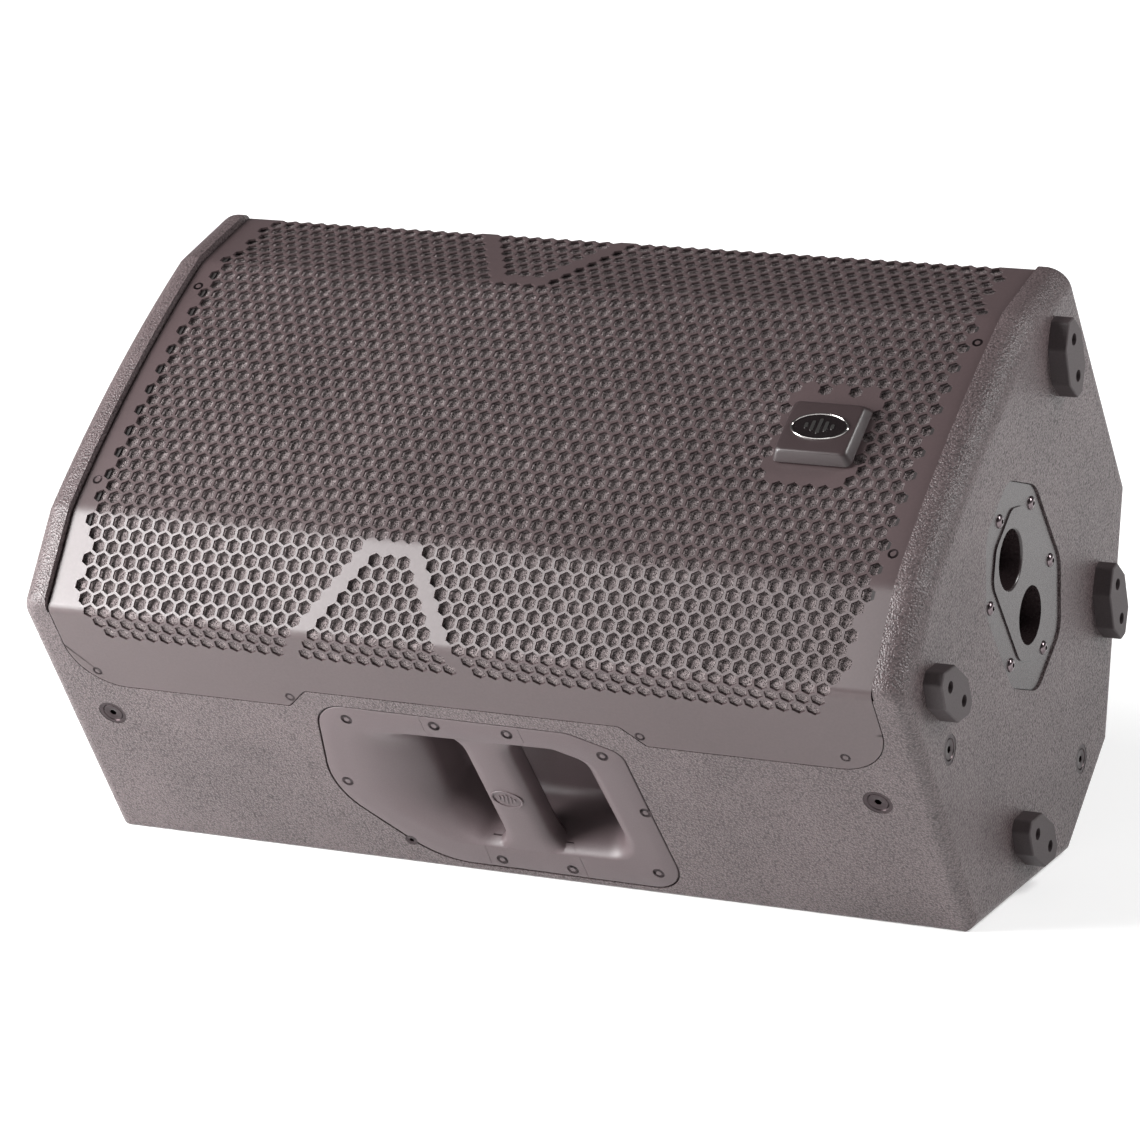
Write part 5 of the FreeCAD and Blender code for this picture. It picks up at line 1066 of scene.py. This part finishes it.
@dataclass
class ScrewSet:
    """Every screw of one CAD node, as copies of one turned screw with a hexagon drive."""

    node: str
    name: str
    head: Head
    radius: float
    finish: Finish
    facing: Callable[[Vector], Vector]
    rise: float = 2.2 * MM
    drive: float = 1.6 * MM
    well_share: float = 2.4
    sink: float = 0.0

    def places(self) -> list[tuple[Vector, Vector]]:
        """The middle of each head and the way it faces, read from the node's separate solids."""
        build = bmesh.new()
        build.from_mesh(frame["nodes"][self.node].data)
        bmesh.ops.remove_doubles(build, verts=build.verts, dist=1e-6)
        left = set(build.verts)
        found = []
        while left:
            island, queue = [], [left.pop()]
            while queue:
                vert = queue.pop()
                island.append(vert.co.copy())
                for edge in vert.link_edges:
                    other = edge.other_vert(vert)
                    if other in left:
                        left.remove(other)
                        queue.append(other)
            found.append(self.axis_of(island))
        build.free()
        return found

    def axis_of(self, island: Sequence[Vector]) -> tuple[Vector, Vector]:
        """The head's middle and outward direction of one screw's points.

        Args:
            island: the points of one solid.

        Returns:
            The middle of the head's top, and the way it faces.
        """
        way = self.facing(sum(island, Vector()) / len(island)).normalized()
        side = way.orthogonal().normalized()
        other = way.cross(side)
        spans = [[p.dot(axis) for p in island] for axis in (side, other)]
        lateral = [(min(values) + max(values)) / 2 for values in spans]
        return side * lateral[0] + other * lateral[1] + way * max(p.dot(way) for p in island), way

    def profile(self) -> list[Point]:
        """The screw's turned outline, with its head's top at zero."""
        r = self.radius
        well = self.drive * self.well_share
        if self.head is Head.FLAT:
            shank = r * 0.45
            return [(0.0, -well), (self.drive, -well), (self.drive, -0.15 * MM), (self.drive + 0.2 * MM, 0.0),
                    (r - 0.25 * MM, 0.0), (r, -0.2 * MM), (r, -0.45 * MM), (shank, -0.45 * MM - (r - shank)),
                    (shank, -10 * MM), (0.0, -10 * MM)]
        rise = self.rise
        dome = [(r * math.sin(math.radians(a)), -rise + rise * math.cos(math.radians(a)))
                for a in range(30, 91, 10)]
        return [(0.0, -well), (self.drive, -well), (self.drive, -0.2 * MM)] + dome + [
            (r, -rise - 0.1 * MM), (r * 0.45, -rise - 0.1 * MM), (r * 0.45, -rise - 8 * MM), (0.0, -rise - 8 * MM)]

    def screw(self) -> bpy.types.Mesh:
        """One screw about z; the drive's ring of points is pulled into a hexagon."""
        build = bmesh.new()
        turned(build, self.profile(), 36)
        for vert in build.verts:
            flat = math.hypot(vert.co.x, vert.co.y)
            if flat < self.drive * 1.01 and flat > 1e-6 and vert.co.z > -self.drive * (self.well_share + 0.1):
                angle = math.atan2(vert.co.y, vert.co.x) % math.radians(60) - math.radians(30)
                vert.co.x *= math.cos(math.radians(30)) / math.cos(angle)
                vert.co.y *= math.cos(math.radians(30)) / math.cos(angle)
        return mesh_from(build, "screw")

    def build(self) -> bpy.types.Object:
        """Set a copy at every place with Geometry Nodes."""
        spots = self.places()
        points = bpy.data.meshes.new("screw_spots")
        points.from_pydata([tuple(p - a * self.sink) for p, a in spots], [], [])
        points.attributes.new("facing", "FLOAT_VECTOR", "POINT").data.foreach_set(
            "vector", [c for _, a in spots for c in a])
        tree = Tree(self.name + "_on_spots")
        model = tree.input("Screw", "NodeSocketObject")
        scale = tree.input("Size")
        facing = tree.add("GeometryNodeInputNamedAttribute", {"Name": "facing"}, data_type="FLOAT_VECTOR")
        turn = tree.add("FunctionNodeAlignRotationToVector", {"Vector": facing.outputs["Attribute"]},
                        axis="Z")
        shape = tree.add("GeometryNodeObjectInfo", {"Object": model})
        copies = tree.add("GeometryNodeInstanceOnPoints", {
            "Points": tree.inside.outputs["Geometry"], "Instance": shape.outputs["Geometry"],
            "Rotation": turn.outputs["Rotation"], "Scale": scale})
        tree.finish(copies.outputs["Instances"], self.finish)
        model_object = scratch(self.screw())
        made = tree.run(points, {"Screw": model_object, "Size": 1.0})
        bpy.data.objects.remove(model_object)
        body = frame["nodes"][self.node]["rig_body"]
        return piece(self.name, made, self.finish, body, [self.node], 35)


# ---------------------------------------------------------------- amplifier panel

@dataclass
class DialMarks:
    """Printed ticks round a level knob."""

    knob: str
    count: int = 11
    sweep: float = 300.0
    radius: float = 9.6 * MM
    length: float = 1.8 * MM
    width: float = 0.5 * MM

    def build(self) -> bpy.types.Object:
        """Turn one tick round the knob's axis with Geometry Nodes."""
        joint = next(j for j in frame["joints"] if j["child"] == self.knob + "_body")
        axis = Vector(joint["axis"])
        turn = Vector((0, 0, 1)).rotation_difference(axis).to_matrix().to_4x4()
        place = Matrix.Translation(Vector(joint["pos_m"]) + axis * 0.03 * MM) @ turn
        points = bpy.data.meshes.new("tick_spots")
        angles = [math.radians(-self.sweep / 2 + self.sweep * k / (self.count - 1))
                  for k in range(self.count)]
        points.from_pydata([(self.radius * math.sin(a), self.radius * math.cos(a), 0.0)
                            for a in angles], [], [])
        points.attributes.new("turn", "FLOAT", "POINT").data.foreach_set("value", [-a for a in angles])
        tree = Tree(self.knob + "_ticks")
        long = tree.input("Tick Length")
        wide = tree.input("Tick Width")
        size = tree.add("ShaderNodeCombineXYZ", {"X": wide, "Y": long, "Z": 0.06 * MM})
        tick = tree.add("GeometryNodeMeshCube", {"Size": size.outputs["Vector"]})
        turned_by = tree.add("GeometryNodeInputNamedAttribute", {"Name": "turn"}, data_type="FLOAT")
        spin = tree.add("ShaderNodeCombineXYZ", {"Z": turned_by.outputs["Attribute"]})
        copies = tree.add("GeometryNodeInstanceOnPoints", {
            "Points": tree.inside.outputs["Geometry"], "Instance": tick.outputs["Mesh"],
            "Rotation": spin.outputs["Vector"]})
        tree.finish(copies.outputs["Instances"], Finishes.print_white)
        made = tree.run(points, {"Tick Length": self.length, "Tick Width": self.width})
        made.transform(place)
        return piece(self.knob + "_ticks", made, Finishes.print_white, "root")


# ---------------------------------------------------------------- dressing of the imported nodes

DRESS: dict[str, Finish] = {
    "textured_paint": Finishes.cabinet, "bare_plywood": Finishes.plywood, "grille_paint": Finishes.grille,
    "acoustic_foam": Finishes.foam, "moulded_plastic": Finishes.moulding, "polished_inlay": Finishes.chrome,
    "black_screw": Finishes.black_screw, "plated_screw": Finishes.plated_screw,
    "cast_alloy": Finishes.casting,
    "foot_rubber": Finishes.rubber, "roll_rubber": Finishes.roll, "paper_cone": Finishes.cone,
    "coil_alloy": Finishes.bare_alloy, "magnet_steel": Finishes.magnet_steel, "ferrite": Finishes.ferrite,
    "panel_paint": Finishes.panel, "black_anodised": Finishes.fins, "circuit_laminate": Finishes.laminate,
    "component_plastic": Finishes.parts, "gloss_plastic": Finishes.gloss, "green_lens": Finishes.lens,
}


SPECIAL: dict[str, Finish] = {"damping_felt": Finishes.felt, "front_baffle": Finishes.black_ply,
                              "grille_battens": Finishes.black_ply}


def dress_nodes() -> None:
    """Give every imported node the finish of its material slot, or its own one."""
    for sub in frame["record"]["subparts"]:
        finish = SPECIAL.get(sub["node"], DRESS[sub["material_slot"]])
        node = frame["nodes"][sub["node"]]
        if not node.material_slots:
            node.data.materials.append(None)
        for slot in node.material_slots:
            slot.material = finish.material()


# ---------------------------------------------------------------- stage, light and camera

@dataclass
class Studio:
    """A white sweep, three soft lamps and the camera."""

    lens_mm: float = 155.0
    camera_at: tuple = (1.3434, -2.6693, 0.9936)
    right: tuple = (0.8954, 0.4440, -0.0337)
    up: tuple = (-0.0877, 0.2502, 0.9642)
    forward: tuple = (-0.4366, 0.8604, -0.2630)
    # The floor's glow next to the object, kept low as a painted soft shadow round it.
    painted_shadow_glow: float = 0.34
    far_glow: float = 0.85
    horizon: float = 0.3
    overhead: float = 0.08
    key: float = 165.0
    strip: float = 84.0
    side: float = 38.0

    def floor(self) -> None:
        """A large white floor that glows by itself, as bright as a lit paper sweep; its glow is weaker near the
        middle, where the object stands, as a painted soft shadow.
        """
        build = bmesh.new()
        half = 12.0
        build.faces.new([build.verts.new((x, y, 0.0)) for x, y in
                         ((-half, -half), (half, -half), (half, half), (-half, half))])
        below = Matrix.Translation((0, 0, -0.2 * MM))
        ground = bpy.data.objects.new("floor", mesh_from(build, "floor", below))
        bpy.context.scene.collection.objects.link(ground)
        made = bpy.data.materials.new("pale_floor")
        made.use_nodes = True
        shader = made.node_tree.nodes["Principled BSDF"]
        shader.inputs["Base Color"].default_value = (0.8, 0.8, 0.8, 1)
        shader.inputs["Roughness"].default_value = 0.9
        shader.inputs["Emission Color"].default_value = (1, 1, 1, 1)
        place = add_node(made.node_tree, "ShaderNodeTexCoord").outputs["Object"]
        reach = add_node(made.node_tree, "ShaderNodeVectorMath", {0: place}, operation="LENGTH")
        # Painted shadow: the glow rises from the near value within half a metre of the middle to the far value
        # beyond 2.2 metres.
        glow = add_node(made.node_tree, "ShaderNodeMapRange", {
            "Value": reach.outputs["Value"], "From Min": 0.5, "From Max": 2.2, "To Min": self.painted_shadow_glow,
            "To Max": self.far_glow})
        made.node_tree.links.new(glow.outputs["Result"], shader.inputs["Emission Strength"])
        ground.data.materials.append(made)

    def lamp(self, name: str, at: Vector, aim: Vector, size: tuple[float, float], power: float) -> None:
        """One rectangular soft lamp."""
        light = bpy.data.lights.new(name, "AREA")
        light.shape = "RECTANGLE"
        light.size, light.size_y = size
        light.energy = power
        holder = bpy.data.objects.new(name, light)
        holder.location = at
        holder.rotation_euler = (aim - at).to_track_quat("-Z", "Y").to_euler()
        bpy.context.scene.collection.objects.link(holder)

    def sky(self) -> None:
        """A white surround: bright near the horizon, dimmer overhead."""
        world = bpy.data.worlds.new("studio")
        bpy.context.scene.world = world
        world.use_nodes = True
        tree = world.node_tree
        tree.nodes.clear()
        way = add_node(tree, "ShaderNodeTexCoord").outputs["Generated"]
        parts = add_node(tree, "ShaderNodeSeparateXYZ", {"Vector": way})
        fade = add_node(tree, "ShaderNodeMapRange", {"Value": parts.outputs["Z"], "From Min": 0.0,
                                                     "From Max": 0.6, "To Min": self.horizon,
                                                     "To Max": self.overhead})
        back = add_node(tree, "ShaderNodeBackground", {"Color": (1, 1, 1, 1),
                                                       "Strength": fade.outputs["Result"]})
        add_node(tree, "ShaderNodeOutputWorld", {"Surface": back.outputs[0]})

    def camera(self) -> None:
        """The camera: a long lens, from the front right and a little above."""
        data = bpy.data.cameras.new("camera")
        data.lens = self.lens_mm
        data.sensor_width = 36.0
        data.clip_end = 50.0
        holder = bpy.data.objects.new("camera", data)
        back = -Vector(self.forward)
        turn = Matrix((self.right, self.up, back)).transposed().to_4x4()
        holder.matrix_world = Matrix.Translation(self.camera_at) @ turn
        bpy.context.scene.collection.objects.link(holder)
        bpy.context.scene.camera = holder

    def build(self) -> None:
        """Set up the whole studio."""
        middle = Vector((0.0, 0.0, 0.2))
        self.floor()
        self.sky()
        self.camera()
        self.lamp("key_front_left", Vector((-2.35, -2.0, 2.45)), middle, (1.3, 1.5), self.key)
        self.lamp("strip_right", Vector((2.4, 0.6, 2.2)), middle, (0.7, 1.8), self.strip)
        self.lamp("side_left", Vector((-1.1, -0.9, 0.5)), Vector((-0.2, -0.1, 0.2)), (0.7, 0.7), self.side)
        bpy.context.scene.view_settings.view_transform = "Standard"


# ---------------------------------------------------------------- whole object

SCREWS = (
    ScrewSet("grille_screws", "grille_hex_screws", Head.FLAT, 3.6 * MM, Finishes.black_screw, out_of_grille),
    ScrewSet("handle_screws", "handle_hex_screws", Head.FLAT, 4.2 * MM, Finishes.black_screw, out_of_handle),
    ScrewSet("blanking_screws", "insert_plugs", Head.FLAT, 6.4 * MM, Finishes.black_screw, out_of_plug,
             drive=2.4 * MM),
    ScrewSet("pole_plate_screws", "socket_plate_screws", Head.DOMED, 4.4 * MM, Finishes.plated_screw,
             out_of_end),
    ScrewSet("foot_screws", "foot_fixing_screws", Head.DOMED, 3.4 * MM, Finishes.plated_screw, out_of_end,
             rise=1.8 * MM, drive=1.3 * MM),
    ScrewSet("amp_plate_screws", "amp_panel_screws", Head.DOMED, 3.6 * MM, Finishes.black_screw, out_of_panel,
             rise=2.0 * MM, drive=1.3 * MM),
)


def main() -> None:
    """Build the wedge's looks in order: studio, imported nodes, then the pieces made here."""
    logging.basicConfig(level=logging.INFO, format="%(name)s %(message)s")
    Studio().build()
    dress_nodes()
    PerforatedGrille().build()
    FoamLiner().build()
    Badge().build()
    Handle().build()
    for screws in SCREWS:
        screws.build()
    for knob in ("level_knob_1", "level_knob_2"):
        DialMarks(knob).build()


if __name__ == "__main__":
    main()
